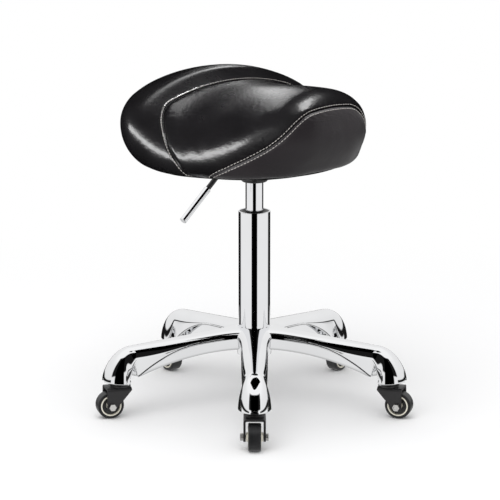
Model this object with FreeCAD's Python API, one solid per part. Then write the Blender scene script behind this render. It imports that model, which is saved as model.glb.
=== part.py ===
import FreeCAD, Part
import math
import os

from FreeCAD import Vector

# A rolling saddle stool: a five-legged cast base on castors, a gas lift and a padded saddle seat.
# Millimetres. Z is up, the origin is on the floor under the column, and the front leg points to -Y.
# The saddle is drawn with its own front along +X and is then turned to SEAT_AZIMUTH.

# Places around the column, in degrees from +X
LEG_COUNT = 5
FRONT_LEG_AZIMUTH = -90
SEAT_AZIMUTH = -45
LEVER_AZIMUTH = SEAT_AZIMUTH - 90

# Clearances
RUNNING_GAP = 0.05
SEATING_GAP = 0.1
FACE_GAP = 0.3
SOFT_GAP = 0.3

# Castor wheel
WHEEL_RADIUS = 21
TYRE_DEPTH = 5
TYRE_WIDTH = 19.5
TYRE_SHOULDER = 4
RIM_LIP = 1.6
WEB_WIDTH = 8
HUB_CAP_THICKNESS = 2.5
WHEEL_HUB_RADIUS = 7
AXLE_RADIUS = 3
BOLT_ACROSS_FLATS = 10
BOLT_HEAD_HEIGHT = 4
AXLE_NUT_HEIGHT = 5

# Castor fork and stem
CASTOR_CIRCLE = 220.5
CASTOR_TRAIL = 17.5
FORK_INSIDE = 26.8
FORK_SHEET = 3.4
FORK_BEND = 5
FORK_FRONT = 14.5
FORK_REAR = 7
FORK_EYE = 7.5
FORK_SHOULDER = 4
WHEEL_TOP_GAP = 4.6
RACE_RADIUS = 16.2
RACE_HEIGHT = 3
CAP_RADIUS = 16.75
CAP_HEIGHT = 4
CAP_BEVEL = 1
STEM_RADIUS = 5
STEM_HEAD_RADIUS = 8
STEM_HEAD_HEIGHT = 2.6
STEM_GRIP = 30

# Cast base: hub, legs and castor hoods
HUB_RISE = 68.7
HUB_HEIGHT = 43
HUB_RADIUS = 26.6
HUB_SHOULDER_RADIUS = 31
HUB_BEVEL = 2
CREST_ROOT = 2
CREST_FALL = 0.0964
CREST_DROP = 4
CREST_DROP_START = 40
LEG_WIDTH = 34
LEG_ROOT_FLARE = 20
LEG_ROOT_FADE = 20
LEG_END_FLARE = 6
LEG_EDGE = 8
LEG_DEEPENING = 36
DEEPEN_START = 125.5
DEEPEN_LENGTH = 100
ROOF_DROP = 3
ROOF_DROP_GROWTH = 2
ROOF_BULGE = 0.7
SHOULDER_RADIUS = 2.5
SHOULDER_GROWTH = 5.5
LEG_TUCK = 0.5
LEG_TUCK_GROWTH = 4
LEG_WALL = 4
LEG_ROOF = 4.5
LEG_SECTIONS = (0, 0.08, 0.18, 0.3, 0.45, 0.62, 0.77, 0.88, 0.95, 1)
RIB_SINK = 2.7
RIB_WIDTH = 10
RIB_ROOT_DEPTH = 34
RIB_MIDDLE_DEPTH = 32
RIB_END_DEPTH = 48
RIB_END_SETBACK = 31
RIB_HEEL = 9
HOOD_RADIUS = 22.4
HOOD_SPRING = 8.7
HOOD_RISE = 35.7
HOOD_LIFT = 0.43
STEM_BOSS_RADIUS = 10
STEM_BOSS_HEIGHT = 38.5
NOTCH_SETBACK = 22.5
NOTCH_WIDTH = 6
NOTCH_RISE = 24

# Gas lift: column, bush, pressure tube, piston rod and thrust bearing
COLUMN_RADIUS = 25
COLUMN_WALL = 2
COLUMN_LENGTH = 189.5
COLUMN_BEVEL = 2.5
COLUMN_FOOT_RADIUS = 22
COLUMN_FOOT_DROP = 15
FOOT_LIP = 1
FOOT_LIP_DEPTH = 2
FOOT_PLATE_THICKNESS = 3
BUSH_LENGTH = 56
BUSH_SETBACK = 1
BUSH_DISH = 5
TUBE_RADIUS = 14
TUBE_WALL = 2.5
TUBE_SHOWN = 46.5
TUBE_CROWN = 22
TAPER_LENGTH = 27
TAPER_SHRINK = 0.8
ROD_GUIDE_LENGTH = 18
ROD_RADIUS = 5
ROD_NECK_RADIUS = 4
ROD_SPIGOT_RADIUS = 3
PISTON_LENGTH = 14
LIFT_UP = 90
LIFT_DOWN = 30
LIFT_SPARE = 7
CLIP_RADIUS = 9
CLIP_THICKNESS = 1.5
CLIP_GROOVE = 1
ROD_TAIL = 2
THRUST_RADIUS = 14
THRUST_WASHER = 2
THRUST_BALL_RADIUS = 1.5
THRUST_BALL_COUNT = 8
BUMPER_RADIUS = 12
BUMPER_HEIGHT = 12
RELEASE_PIN_RADIUS = 3
RELEASE_HEAD_RADIUS = 5
RELEASE_HEAD_HEIGHT = 3
RELEASE_PROUD = 2.5

# Seat mechanism: socket, plate, bolts and lever
SOCKET_RADIUS = 21
SOCKET_HEIGHT = 26
SOCKET_BEVEL = 2
SOCKET_SHOWN = 11.5
PLATE_FLOOR_HEIGHT = 10.5
PLATE_DEPTH = 19.5
PLATE_SHEET = 2.5
PLATE_LENGTH = 120
PLATE_FLOOR_HALF = 45
PLATE_SLOPE = 12
PLATE_FLANGE = 23
PLATE_BEND = 1.2
PLATE_INWARD = 1.5
BOLT_HALF_SPAN = 45
TEE_FLANGE_RADIUS = 9.5
TEE_FLANGE = 1.2
TEE_BARREL_RADIUS = 4
TEE_BARREL_LENGTH = 9
LEVER_HEIGHT = 22.5
LEVER_RADIUS = 4
LEVER_PIVOT = 28
LEVER_OVERRUN = 6
LEVER_BEND = 62.7
LEVER_BEND_RADIUS = 14
LEVER_SLOPE = 39
LEVER_REACH = 154
LEVER_PIN_RADIUS = 2.5
SLEEVE_RADIUS = 5.5
SLEEVE_LENGTH = 67
SLEEVE_END = 5
SLEEVE_ROUND = 1.5
EAR_THICKNESS = 2.5
EAR_GAP = 13
EAR_LENGTH = 12
EAR_TOP = 5

# Saddle seat: lengths along the saddle, and heights above the middle of its underside
SEAT_REAR = 191.8
SEAT_FRONT = 171.5
SEAT_HALF_WIDTH = 200.5
SEAT_WIDEST = -66
FRONT_TAPER = 0.37
TAPER_POWER = 1.5
REAR_ROUNDNESS = 1.7
FRONT_ROUNDNESS = 3.2
CANTLE_PLACE = -83
CANTLE_HEIGHT = 159.6
VALLEY_PLACE = -45
VALLEY_HEIGHT = 138.5
POMMEL_PLACE = 128
POMMEL_HEIGHT = 147.4
SIDE_REAR_END = 5
REAR_SIDE_START = -105
SIDE_FRONT_END = 45
FRONT_SIDE_START = 155.5
SIDE_GIRTH_HEIGHT = 43
REAR_GIRTH_HEIGHT = 90.7
FRONT_GIRTH_HEIGHT = 87.6
SIDE_TOP_EDGE = 40
REAR_TOP_EDGE = 37.7
FRONT_TOP_EDGE = 40.6
SIDE_LOW_EDGE = 19
REAR_LOW_EDGE = 70
FRONT_LOW_EDGE = 73
UNDERSIDE_RISE = 33
UNDERSIDE_ROLL = 0.674
UNDERSIDE_ROUNDNESS = 2.7
EDGE_RADIUS_SHARE = 0.92
LEATHER = 1.6
SECTION_COUNT = 21
FIRST_SECTION_ANGLE = 4
CANTLE_SEAM = -49.4
CANTLE_SEAM_LEAN = 0.98
CANTLE_LEAN_HEIGHT = 115
CANTLE_LEAN_EASE = 5
POMMEL_SEAM = 176.4
POMMEL_SEAM_FOOT = 58
POMMEL_SEAM_SLOPE = 26.5
POMMEL_SEAM_EASE = 73.4
SEAM_POINT_COUNT = 17
UNDER_SEAM_HEIGHT = 20.5
SEAM_GAP = 0.4
BOARD_INSET = 50
BOARD_THICKNESS = 12
BOARD_FRONT_HALF = 95
BOARD_FRONT_SETBACK = 35
POCKET_MARGIN = 12
POCKET_LEVER_REACH = 112
SOCKET_HOLE_MARGIN = 1.5
LEVER_SLOT_START = 76
LEVER_SLOT_END = 106
LEVER_SLOT_WIDTH = 14

# Heights that follow from the sizes above
fork_underside = 2 * WHEEL_RADIUS + WHEEL_TOP_GAP
fork_top = fork_underside + FORK_SHEET
race_top = fork_top + RACE_HEIGHT
cap_bottom = race_top + FACE_GAP
hood_bottom = cap_bottom + CAP_HEIGHT
hub_top = hood_bottom + HUB_RISE
hub_bottom = hub_top - HUB_HEIGHT
column_foot = hub_bottom - COLUMN_FOOT_DROP
column_top = hub_top + COLUMN_LENGTH
socket_bottom = column_top + TUBE_SHOWN
seat_bottom = socket_bottom + SOCKET_SHOWN
plate_floor = seat_bottom + PLATE_FLOOR_HEIGHT
board_bottom = plate_floor + PLATE_SHEET + PLATE_DEPTH
board_top = board_bottom + BOARD_THICKNESS
lever_level = seat_bottom + LEVER_HEIGHT
foot_plate_top = column_foot + FOOT_LIP + FOOT_PLATE_THICKNESS
ball_level = foot_plate_top + THRUST_WASHER + THRUST_BALL_RADIUS
upper_washer_bottom = ball_level + THRUST_BALL_RADIUS + RUNNING_GAP
bumper_bottom = upper_washer_bottom + THRUST_WASHER
tube_bottom = bumper_bottom + BUMPER_HEIGHT + LIFT_DOWN + LIFT_SPARE
tube_bore = TUBE_RADIUS - TUBE_WALL
taper_top = socket_bottom + TAPER_LENGTH
tube_roof = taper_top - TUBE_CROWN
piston_bottom = tube_bottom + ROD_GUIDE_LENGTH + LIFT_UP + 2 * LIFT_SPARE
rim_radius = WHEEL_RADIUS - TYRE_DEPTH
fork_half = FORK_INSIDE / 2 + FORK_SHEET


def wire_of(outline, place):
    """Join points by lines, and (via, end) pairs by arcs, into one closed wire."""
    start = place(*outline[0])
    here = start
    edges = []
    for step in outline[1:]:
        if isinstance(step[0], tuple):
            end = place(*step[1])
            edges.append(Part.Arc(here, place(*step[0]), end).toShape())
        else:
            end = place(*step)
            edges.append(Part.LineSegment(here, end).toShape())
        here = end
    if not here.isEqual(start, 1e-7):
        edges.append(Part.LineSegment(here, start).toShape())
    return Part.Wire(edges)


def along_x(outline, low, high):
    """Extrude an outline of (y, z) points from x = low to x = high."""
    face = Part.Face(wire_of(outline, lambda y, z: Vector(low, y, z)))
    return face.extrude(Vector(high - low, 0, 0))


def along_y(outline, low, high):
    """Extrude an outline of (x, z) points from y = low to y = high."""
    face = Part.Face(wire_of(outline, lambda x, z: Vector(x, low, z)))
    return face.extrude(Vector(0, high - low, 0))


def along_z(outline, low, high):
    """Extrude an outline of (x, y) points from z = low to z = high."""
    face = Part.Face(wire_of(outline, lambda x, y: Vector(x, y, low)))
    return face.extrude(Vector(0, 0, high - low))


def turned(outline):
    """Revolve an outline of (radius, z) points about the column axis."""
    face = Part.Face(wire_of(outline, lambda r, z: Vector(r, 0, z)))
    return face.revolve(Vector(0, 0, 0), Vector(0, 0, 1), 360)


def turned_on_axle(outline):
    """Revolve an outline of (radius, y) points about the wheel axle of the castor on +X."""
    axle = Vector(CASTOR_CIRCLE + CASTOR_TRAIL, 0, WHEEL_RADIUS)
    face = Part.Face(wire_of(outline, lambda r, y: axle + Vector(0, y, r)))
    return face.revolve(axle, Vector(0, 1, 0), 360)


def ring(outer, inner, low, high):
    """A plain ring about the column axis."""
    return turned([(inner, low), (outer, low), (outer, high), (inner, high)])


def moved(shape, x=0, y=0, z=0):
    """A copy of a shape, shifted."""
    copy = shape.copy()
    copy.translate(Vector(x, y, z))
    return copy


def swung(shape, azimuth):
    """A copy of a shape, turned about the column axis."""
    copy = shape.copy()
    copy.rotate(Vector(0, 0, 0), Vector(0, 0, 1), azimuth)
    return copy


def hexagon(across_flats):
    """Corners of a hexagon about (0, 0)."""
    corner = across_flats / math.sqrt(3)
    angles = [math.radians(60 * k) for k in range(6)]
    return [(corner * math.cos(a), corner * math.sin(a)) for a in angles]


def leg_azimuths():
    """Azimuths of the legs, counted from the front leg towards +X."""
    return [FRONT_LEG_AZIMUTH + 360 * k / LEG_COUNT for k in range(LEG_COUNT)]


def save(name, shape):
    """Write one node."""
    shape.exportStep("parts/%s.step" % name)


# Cast base
def crest_height(r):
    """Height of a leg's ridge at a radius: a steady fall, steeper just before the hood."""
    late = max(0, r - (CASTOR_CIRCLE - CREST_DROP_START)) / CREST_DROP_START
    return hub_top + CREST_ROOT - CREST_FALL * r - CREST_DROP * late ** 2


def lip_depth(r):
    """Depth of a leg's side below its ridge: shallow at the hub, deep at the hood."""
    late = max(0, r - (CASTOR_CIRCLE - DEEPEN_START)) / DEEPEN_LENGTH
    return LEG_EDGE + LEG_DEEPENING * late ** 2


def leg_half_width(r):
    """Half the width of a leg: flared at the hub and a little at the hood."""
    root = LEG_ROOT_FLARE * math.exp((HUB_RADIUS - r) / LEG_ROOT_FADE)
    late = max(0, r - (CASTOR_CIRCLE - CREST_DROP_START)) / CREST_DROP_START
    return (LEG_WIDTH + root + LEG_END_FLARE * late ** 2) / 2


def leg_section(r, wall, roof, open_below):
    """Tent-shaped section of a leg at a radius, drawn in by the wall and roof thickness."""
    growth = (lip_depth(r) - LEG_EDGE) / LEG_DEEPENING
    half = leg_half_width(r) - wall
    crest = crest_height(r) - roof
    shoulder = SHOULDER_RADIUS + SHOULDER_GROWTH * growth
    edge = crest - ROOF_DROP - ROOF_DROP_GROWTH * growth
    upper = half - shoulder
    belly = edge - shoulder
    lip = max(crest_height(r) - lip_depth(r), hood_bottom) - open_below
    foot = half - LEG_TUCK - LEG_TUCK_GROWTH * growth
    diagonal = shoulder * math.sqrt(0.5)
    round_via = (upper + diagonal, belly + diagonal)
    roof_via = (upper / 2, (edge + crest) / 2 + ROOF_BULGE)
    outline = [
        (-foot, lip),
        (foot, lip),
        (half, belly),
        (round_via, (upper, edge)),
        (roof_via, (0, crest)),
        ((-roof_via[0], roof_via[1]), (-upper, edge)),
        ((-round_via[0], round_via[1]), (-half, belly)),
        (-foot, lip),
    ]
    return wire_of(outline, lambda y, z: Vector(r, y, z))


def leg_loft(start, end, wall, roof, open_below):
    """Loft a leg between two radii, with closer sections where its shape changes."""
    radii = [start + share * (end - start) for share in LEG_SECTIONS]
    return Part.makeLoft([leg_section(r, wall, roof, open_below) for r in radii], True, False)


def hood_dome(wall, roof):
    """Dome over a castor stem, upright half of an ellipse of revolution on a short skirt."""
    centre = Vector(0, 0, hood_bottom + HOOD_SPRING)
    top = centre + Vector(0, 0, HOOD_RISE - roof)
    side = centre + Vector(HOOD_RADIUS - wall, 0, 0)
    dome = Part.ArcOfEllipse(Part.Ellipse(top, side, centre), 0, math.pi / 2).toShape()
    low = side - Vector(0, 0, 2 * HOOD_SPRING)
    floor = Vector(0, 0, low.z)
    lines = [Part.LineSegment(a, b).toShape() for a, b in ((side, low), (low, floor), (floor, top))]
    edges = Part.sortEdges([dome] + lines)[0]
    solid = Part.Face(Part.Wire(edges)).revolve(Vector(0, 0, 0), Vector(0, 0, 1), 360)
    return moved(solid, x=CASTOR_CIRCLE)


def leg_rib():
    """Deep web under a leg, from the hub to the stem boss."""
    heel = CASTOR_CIRCLE - RIB_END_SETBACK
    boss = CASTOR_CIRCLE - STEM_BOSS_RADIUS / 2
    middle = (HUB_RADIUS + heel) / 2
    top = [(r, crest_height(r) - RIB_SINK) for r in (boss, heel, middle, HUB_RADIUS)]
    root = (HUB_RADIUS, hub_top - RIB_ROOT_DEPTH)
    bow = (middle, crest_height(middle) - RIB_MIDDLE_DEPTH)
    end = (heel, crest_height(heel) - RIB_END_DEPTH)
    outline = top + [root, (bow, end), (boss, end[1] + RIB_HEEL)]
    return along_y(outline, -RIB_WIDTH / 2, RIB_WIDTH / 2)


def cast_leg():
    """One hollow leg on +X with its hood, rib, stem boss and side notches."""
    start = HUB_RADIUS / 2
    inside_start = HUB_SHOULDER_RADIUS + LEG_WALL
    shell = leg_loft(start, CASTOR_CIRCLE, 0, 0, 0).fuse(hood_dome(0, 0))
    hollow = leg_loft(inside_start, CASTOR_CIRCLE, LEG_WALL, LEG_ROOF, LEG_DEEPENING)
    leg = shell.cut(hollow).cut(hood_dome(LEG_WALL, LEG_ROOF))
    notch_x = CASTOR_CIRCLE - NOTCH_SETBACK
    notch_top = hood_bottom + NOTCH_RISE
    half = NOTCH_WIDTH / 2
    notch = along_y(
        [
            (notch_x - half, 0),
            (notch_x + half, 0),
            (notch_x + half, notch_top),
            ((notch_x, notch_top + half), (notch_x - half, notch_top)),
        ],
        -2 * HOOD_RADIUS,
        2 * HOOD_RADIUS,
    )
    boss = Part.makeCylinder(STEM_BOSS_RADIUS, STEM_BOSS_HEIGHT, Vector(CASTOR_CIRCLE, 0, hood_bottom))
    leg = leg.cut(notch).fuse([leg_rib(), boss])
    tip = CASTOR_CIRCLE + 2 * HOOD_RADIUS
    below = along_y(
        [
            (HUB_SHOULDER_RADIUS, 0),
            (tip, 0),
            (tip, hood_bottom + HOOD_LIFT * 2 * HOOD_RADIUS),
            (CASTOR_CIRCLE, hood_bottom),
            (HUB_SHOULDER_RADIUS, hood_bottom),
        ],
        -2 * HOOD_RADIUS,
        2 * HOOD_RADIUS,
    )
    bore = Part.makeCylinder(
        STEM_RADIUS + RUNNING_GAP, STEM_GRIP + FACE_GAP, Vector(CASTOR_CIRCLE, 0, hood_bottom)
    )
    return leg.cut(below).cut(bore)


def foot_radius(z, gap):
    """Radius of the column's tapered foot at a height, or of its seat with a gap."""
    share = (hub_top - z) / (hub_top - column_foot)
    return COLUMN_RADIUS - RUNNING_GAP + (COLUMN_FOOT_RADIUS - COLUMN_RADIUS) * share + gap


def star_base():
    """Hub and legs as one casting, with the taper for the column."""
    shoulder = hub_top - LEG_EDGE
    hub = turned(
        [
            (0, hub_bottom),
            (HUB_RADIUS - HUB_BEVEL, hub_bottom),
            (HUB_RADIUS, hub_bottom + HUB_BEVEL),
            (HUB_SHOULDER_RADIUS, shoulder),
            (HUB_RADIUS + HUB_BEVEL, hub_top),
            (0, hub_top),
        ]
    )
    leg = cast_leg()
    star = hub
    for azimuth in leg_azimuths():
        star = star.fuse(swung(leg, azimuth))
    low, high = hub_bottom - HUB_HEIGHT, hub_top + HUB_HEIGHT
    seat = turned(
        [
            (0, low),
            (foot_radius(low, SEATING_GAP), low),
            (foot_radius(high, SEATING_GAP), high),
            (0, high),
        ]
    )
    return star.cut(seat)


# Castors, drawn on +X
def castor_stem():
    """Stem pin, with the head that carries the fork from below."""
    head_top = fork_underside - FACE_GAP
    stem = turned(
        [
            (0, head_top - STEM_HEAD_HEIGHT),
            (STEM_HEAD_RADIUS, head_top - STEM_HEAD_HEIGHT),
            (STEM_HEAD_RADIUS, head_top),
            (STEM_RADIUS, head_top),
            (STEM_RADIUS, hood_bottom + STEM_GRIP),
            (0, hood_bottom + STEM_GRIP),
        ]
    )
    return moved(stem, x=CASTOR_CIRCLE)


def castor_cap():
    """Bearing cap between the fork and the hood, bevelled above and below."""
    inner = STEM_RADIUS + RUNNING_GAP
    cap = turned(
        [
            (inner, cap_bottom),
            (CAP_RADIUS - CAP_BEVEL, cap_bottom),
            (CAP_RADIUS, cap_bottom + CAP_BEVEL),
            (CAP_RADIUS, hood_bottom - CAP_BEVEL),
            (CAP_RADIUS - CAP_BEVEL, hood_bottom),
            (inner, hood_bottom),
        ]
    )
    return moved(cap, x=CASTOR_CIRCLE)


def castor_fork():
    """Bent sheet fork with tapered cheeks, axle eyes and a raised bearing race."""
    inside = FORK_INSIDE / 2
    inner_bend = FORK_BEND - FORK_SHEET
    corner = math.sqrt(0.5)
    outer_side, outer_top = fork_half - FORK_BEND, fork_top - FORK_BEND
    outer_via = (outer_side + FORK_BEND * corner, outer_top + FORK_BEND * corner)
    inner_via = (outer_side + inner_bend * corner, outer_top + inner_bend * corner)
    channel = along_x(
        [
            (-fork_half, 0),
            (-fork_half, outer_top),
            ((-outer_via[0], outer_via[1]), (-outer_side, fork_top)),
            (outer_side, fork_top),
            (outer_via, (fork_half, outer_top)),
            (fork_half, 0),
            (inside, 0),
            (inside, outer_top),
            (inner_via, (outer_side, fork_underside)),
            (-outer_side, fork_underside),
            ((-inner_via[0], inner_via[1]), (-inside, outer_top)),
            (-inside, 0),
        ],
        CASTOR_CIRCLE - 2 * FORK_FRONT,
        CASTOR_CIRCLE + 2 * CASTOR_TRAIL + 2 * FORK_REAR,
    )
    axle_x = CASTOR_CIRCLE + CASTOR_TRAIL
    front_x = CASTOR_CIRCLE - FORK_FRONT
    shoulder_z = fork_top - FORK_SHOULDER
    reach = math.hypot(axle_x - front_x, shoulder_z - WHEEL_RADIUS)
    towards = math.atan2(shoulder_z - WHEEL_RADIUS, front_x - axle_x)
    tangent = towards + math.acos(FORK_EYE / reach)
    middle = (tangent + 2 * math.pi) / 2
    eye_front = (axle_x + FORK_EYE * math.cos(tangent), WHEEL_RADIUS + FORK_EYE * math.sin(tangent))
    eye_low = (axle_x + FORK_EYE * math.cos(middle), WHEEL_RADIUS + FORK_EYE * math.sin(middle))
    cheek = along_y(
        [
            (front_x, fork_top),
            (front_x, shoulder_z),
            eye_front,
            (eye_low, (axle_x + FORK_EYE, WHEEL_RADIUS)),
            (axle_x + FORK_REAR, fork_top),
        ],
        -2 * fork_half,
        2 * fork_half,
    )
    race = Part.makeCylinder(RACE_RADIUS, RACE_HEIGHT, Vector(CASTOR_CIRCLE, 0, fork_top))
    stem_hole = Part.makeCylinder(STEM_RADIUS + RUNNING_GAP, 2 * race_top, Vector(CASTOR_CIRCLE, 0, 0))
    axle_hole = Part.makeCylinder(
        AXLE_RADIUS + RUNNING_GAP,
        4 * fork_half,
        Vector(axle_x, -2 * fork_half, WHEEL_RADIUS),
        Vector(0, 1, 0),
    )
    return channel.common(cheek).fuse(race).cut([stem_hole, axle_hole])


def hex_on_axle(low, high):
    """Hexagonal prism about the axle, between two places along it."""
    outline = [(CASTOR_CIRCLE + CASTOR_TRAIL + x, WHEEL_RADIUS + z) for x, z in hexagon(BOLT_ACROSS_FLATS)]
    return along_y(outline, low, high)


def axle_bolt():
    """Hexagon bolt through both cheeks, and its nut, as two solids."""
    end = -fork_half - AXLE_NUT_HEIGHT
    shank = turned_on_axle([(0, end), (AXLE_RADIUS, end), (AXLE_RADIUS, fork_half), (0, fork_half)])
    bolt = shank.fuse(hex_on_axle(fork_half, fork_half + BOLT_HEAD_HEIGHT)).removeSplitter()
    hole_radius = AXLE_RADIUS + RUNNING_GAP
    hole = turned_on_axle(
        [(0, 2 * end), (hole_radius, 2 * end), (hole_radius, fork_half), (0, fork_half)]
    )
    nut = hex_on_axle(end, -fork_half).cut(hole)
    return Part.makeCompound([bolt, nut])


def tyre():
    """Tyre with rounded shoulders and a flat tread."""
    half = TYRE_WIDTH / 2
    flat = half - TYRE_SHOULDER
    side = WHEEL_RADIUS - TYRE_SHOULDER
    via = TYRE_SHOULDER * math.sqrt(0.5)
    return turned_on_axle(
        [
            (rim_radius + RUNNING_GAP, -half),
            (side, -half),
            ((side + via, -flat - via), (WHEEL_RADIUS, -flat)),
            (WHEEL_RADIUS, flat),
            ((side + via, flat + via), (side, half)),
            (rim_radius + RUNNING_GAP, half),
        ]
    )


def wheel_rim():
    """Rim with a thin web and a long hub that runs on the axle."""
    half = TYRE_WIDTH / 2
    web = WEB_WIDTH / 2
    hub = FORK_INSIDE / 2 - FACE_GAP
    bore = AXLE_RADIUS + RUNNING_GAP
    inner = rim_radius - RIM_LIP
    one_side = [(bore, hub), (WHEEL_HUB_RADIUS, hub), (WHEEL_HUB_RADIUS, web), (inner, web)]
    one_side += [(inner, half), (rim_radius, half)]
    other_side = [(r, -y) for r, y in reversed(one_side)]
    return turned_on_axle(one_side + other_side)


def hub_caps():
    """Dished cover discs in the rim, one on each side of the web."""
    web = WEB_WIDTH / 2
    inner = WHEEL_HUB_RADIUS + RUNNING_GAP
    outer = rim_radius - RIM_LIP - RUNNING_GAP
    discs = []
    for side in (1, -1):
        outline = [
            (inner, web),
            (outer, web),
            (outer, web + HUB_CAP_THICKNESS),
            (inner, web + HUB_CAP_THICKNESS / 2),
        ]
        discs.append(turned_on_axle([(r, side * y) for r, y in outline]))
    return Part.makeCompound(discs)


# Gas lift
def stand_tube():
    """Column tube with a bevelled mouth, a tapered foot and a crimped lip under the foot plate."""
    bore = COLUMN_RADIUS - COLUMN_WALL
    lip_top = column_foot + FOOT_LIP
    lip_bore = COLUMN_FOOT_RADIUS - COLUMN_WALL
    return turned(
        [
            (lip_bore - FOOT_LIP_DEPTH, column_foot),
            (foot_radius(column_foot, 0), column_foot),
            (foot_radius(hub_top, 0), hub_top),
            (COLUMN_RADIUS, hub_top + FACE_GAP),
            (COLUMN_RADIUS, column_top - COLUMN_BEVEL),
            (COLUMN_RADIUS - COLUMN_WALL / 2, column_top),
            (bore, column_top),
            (bore, hub_top),
            (lip_bore, lip_top),
            (lip_bore - FOOT_LIP_DEPTH, lip_top),
        ]
    )


def guide_bush():
    """Bush that guides the pressure tube in the mouth of the column, dished on top."""
    top = column_top - BUSH_SETBACK
    outer = COLUMN_RADIUS - COLUMN_WALL - RUNNING_GAP
    inner = TUBE_RADIUS + RUNNING_GAP
    return turned(
        [
            (inner, top - BUSH_LENGTH),
            (outer, top - BUSH_LENGTH),
            (outer, top),
            (outer - BUSH_DISH / 2, top),
            (inner, top - BUSH_DISH),
        ]
    )


def foot_plate():
    """Plate in the foot of the column that carries the thrust bearing."""
    outer = COLUMN_FOOT_RADIUS - COLUMN_WALL - SEATING_GAP
    return ring(outer, ROD_NECK_RADIUS + RUNNING_GAP, column_foot + FOOT_LIP, foot_plate_top)


def thrust_balls():
    """Ring of balls between the two thrust washers."""
    circle = (THRUST_RADIUS + ROD_RADIUS) / 2
    balls = []
    for k in range(THRUST_BALL_COUNT):
        angle = 2 * math.pi * k / THRUST_BALL_COUNT
        centre = Vector(circle * math.cos(angle), circle * math.sin(angle), ball_level + RUNNING_GAP / 2)
        balls.append(Part.makeSphere(THRUST_BALL_RADIUS, centre))
    return Part.makeCompound(balls)


def piston_rod():
    """Rod that stands on the thrust bearing, with a grooved neck below and a spigot above."""
    neck_top = bumper_bottom
    clip_top = column_foot + FOOT_LIP - FACE_GAP
    clip_bottom = clip_top - CLIP_THICKNESS - RUNNING_GAP
    tail = clip_bottom - ROD_TAIL
    top = piston_bottom + PISTON_LENGTH
    groove = ROD_NECK_RADIUS - CLIP_GROOVE
    return turned(
        [
            (0, tail),
            (ROD_NECK_RADIUS, tail),
            (ROD_NECK_RADIUS, clip_bottom),
            (groove, clip_bottom),
            (groove, clip_top),
            (ROD_NECK_RADIUS, clip_top),
            (ROD_NECK_RADIUS, neck_top),
            (ROD_RADIUS, neck_top),
            (ROD_RADIUS, piston_bottom),
            (ROD_SPIGOT_RADIUS, piston_bottom),
            (ROD_SPIGOT_RADIUS, top),
            (0, top),
        ]
    )


def rod_clip():
    """Open spring clip in the groove of the rod's neck."""
    top = column_foot + FOOT_LIP - FACE_GAP - RUNNING_GAP / 2
    groove = ROD_NECK_RADIUS - CLIP_GROOVE + RUNNING_GAP
    clip = ring(CLIP_RADIUS, groove, top - CLIP_THICKNESS, top)
    mouth = Part.makeBox(2 * CLIP_RADIUS, 2 * groove, 4 * CLIP_THICKNESS)
    return clip.cut(moved(mouth, y=-groove, z=top - 2 * CLIP_THICKNESS))


def pressure_tube():
    """Chromed tube, closed above by a tapered crown that the release pin runs through."""
    pin_bore = RELEASE_PIN_RADIUS + RUNNING_GAP
    return turned(
        [
            (tube_bore, tube_bottom),
            (TUBE_RADIUS, tube_bottom),
            (TUBE_RADIUS, socket_bottom),
            (TUBE_RADIUS - TAPER_SHRINK, taper_top),
            (pin_bore, taper_top),
            (pin_bore, tube_roof),
            (tube_bore, tube_roof),
        ]
    )


def release_pin():
    """Valve pin that stands out of the crown, with a head inside the tube."""
    head_top = tube_roof - FACE_GAP
    top = taper_top + RELEASE_PROUD
    return turned(
        [
            (0, head_top - RELEASE_HEAD_HEIGHT),
            (RELEASE_HEAD_RADIUS, head_top - RELEASE_HEAD_HEIGHT),
            (RELEASE_HEAD_RADIUS, head_top),
            (RELEASE_PIN_RADIUS, head_top),
            (RELEASE_PIN_RADIUS, top),
            (0, top),
        ]
    )


# Seat mechanism, drawn with the saddle's front on +X
def seat_socket():
    """Tapered socket that the pressure tube's crown is pressed into."""
    top = socket_bottom + SOCKET_HEIGHT
    bore_low = TUBE_RADIUS + SEATING_GAP
    bore_high = bore_low - TAPER_SHRINK * SOCKET_HEIGHT / TAPER_LENGTH
    return turned(
        [
            (bore_low, socket_bottom),
            (SOCKET_RADIUS - SOCKET_BEVEL, socket_bottom),
            (SOCKET_RADIUS, socket_bottom + SOCKET_BEVEL),
            (SOCKET_RADIUS, top),
            (bore_high, top),
        ]
    )


def bolt_places():
    """Places of the bolts that hold the plate to the board."""
    reach = PLATE_FLOOR_HALF + PLATE_SLOPE + PLATE_FLANGE / 2
    return [(x, y) for x in (-reach, reach) for y in (-BOLT_HALF_SPAN, BOLT_HALF_SPAN)]


def seat_plate():
    """Hat-shaped steel plate: flanges under the board, and a lower floor that holds the socket."""
    slope_end = PLATE_FLOOR_HALF + PLATE_SLOPE
    upper_floor = plate_floor + PLATE_SHEET
    flange = board_bottom - PLATE_SHEET
    half = [
        (PLATE_FLOOR_HALF, plate_floor),
        (slope_end, flange),
        (slope_end + PLATE_FLANGE, flange),
        (slope_end + PLATE_FLANGE, board_bottom),
        (slope_end - PLATE_INWARD, board_bottom),
        (PLATE_FLOOR_HALF - PLATE_INWARD, upper_floor),
    ]
    other_half = [(-x, z) for x, z in reversed(half)]
    plate = along_y(half + other_half, -PLATE_LENGTH / 2, PLATE_LENGTH / 2)
    bends = [edge for edge in plate.Edges if is_bend(edge, slope_end)]
    plate = plate.makeFillet(PLATE_BEND, bends)
    deep = 4 * PLATE_DEPTH
    holes = [Part.makeCylinder(SOCKET_RADIUS + RUNNING_GAP, deep, Vector(0, 0, socket_bottom))]
    for x, y in bolt_places():
        holes.append(Part.makeCylinder(AXLE_RADIUS + SEATING_GAP, deep, Vector(x, y, plate_floor)))
    return plate.cut(holes)


def is_bend(edge, reach):
    """True for a plate edge that runs along Y at one of the bends."""
    first, last = (v.Point for v in edge.Vertexes)
    runs_along = abs(first.x - last.x) < 1e-6 and abs(first.z - last.z) < 1e-6
    return runs_along and abs(first.x) < reach + PLATE_SHEET


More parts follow.
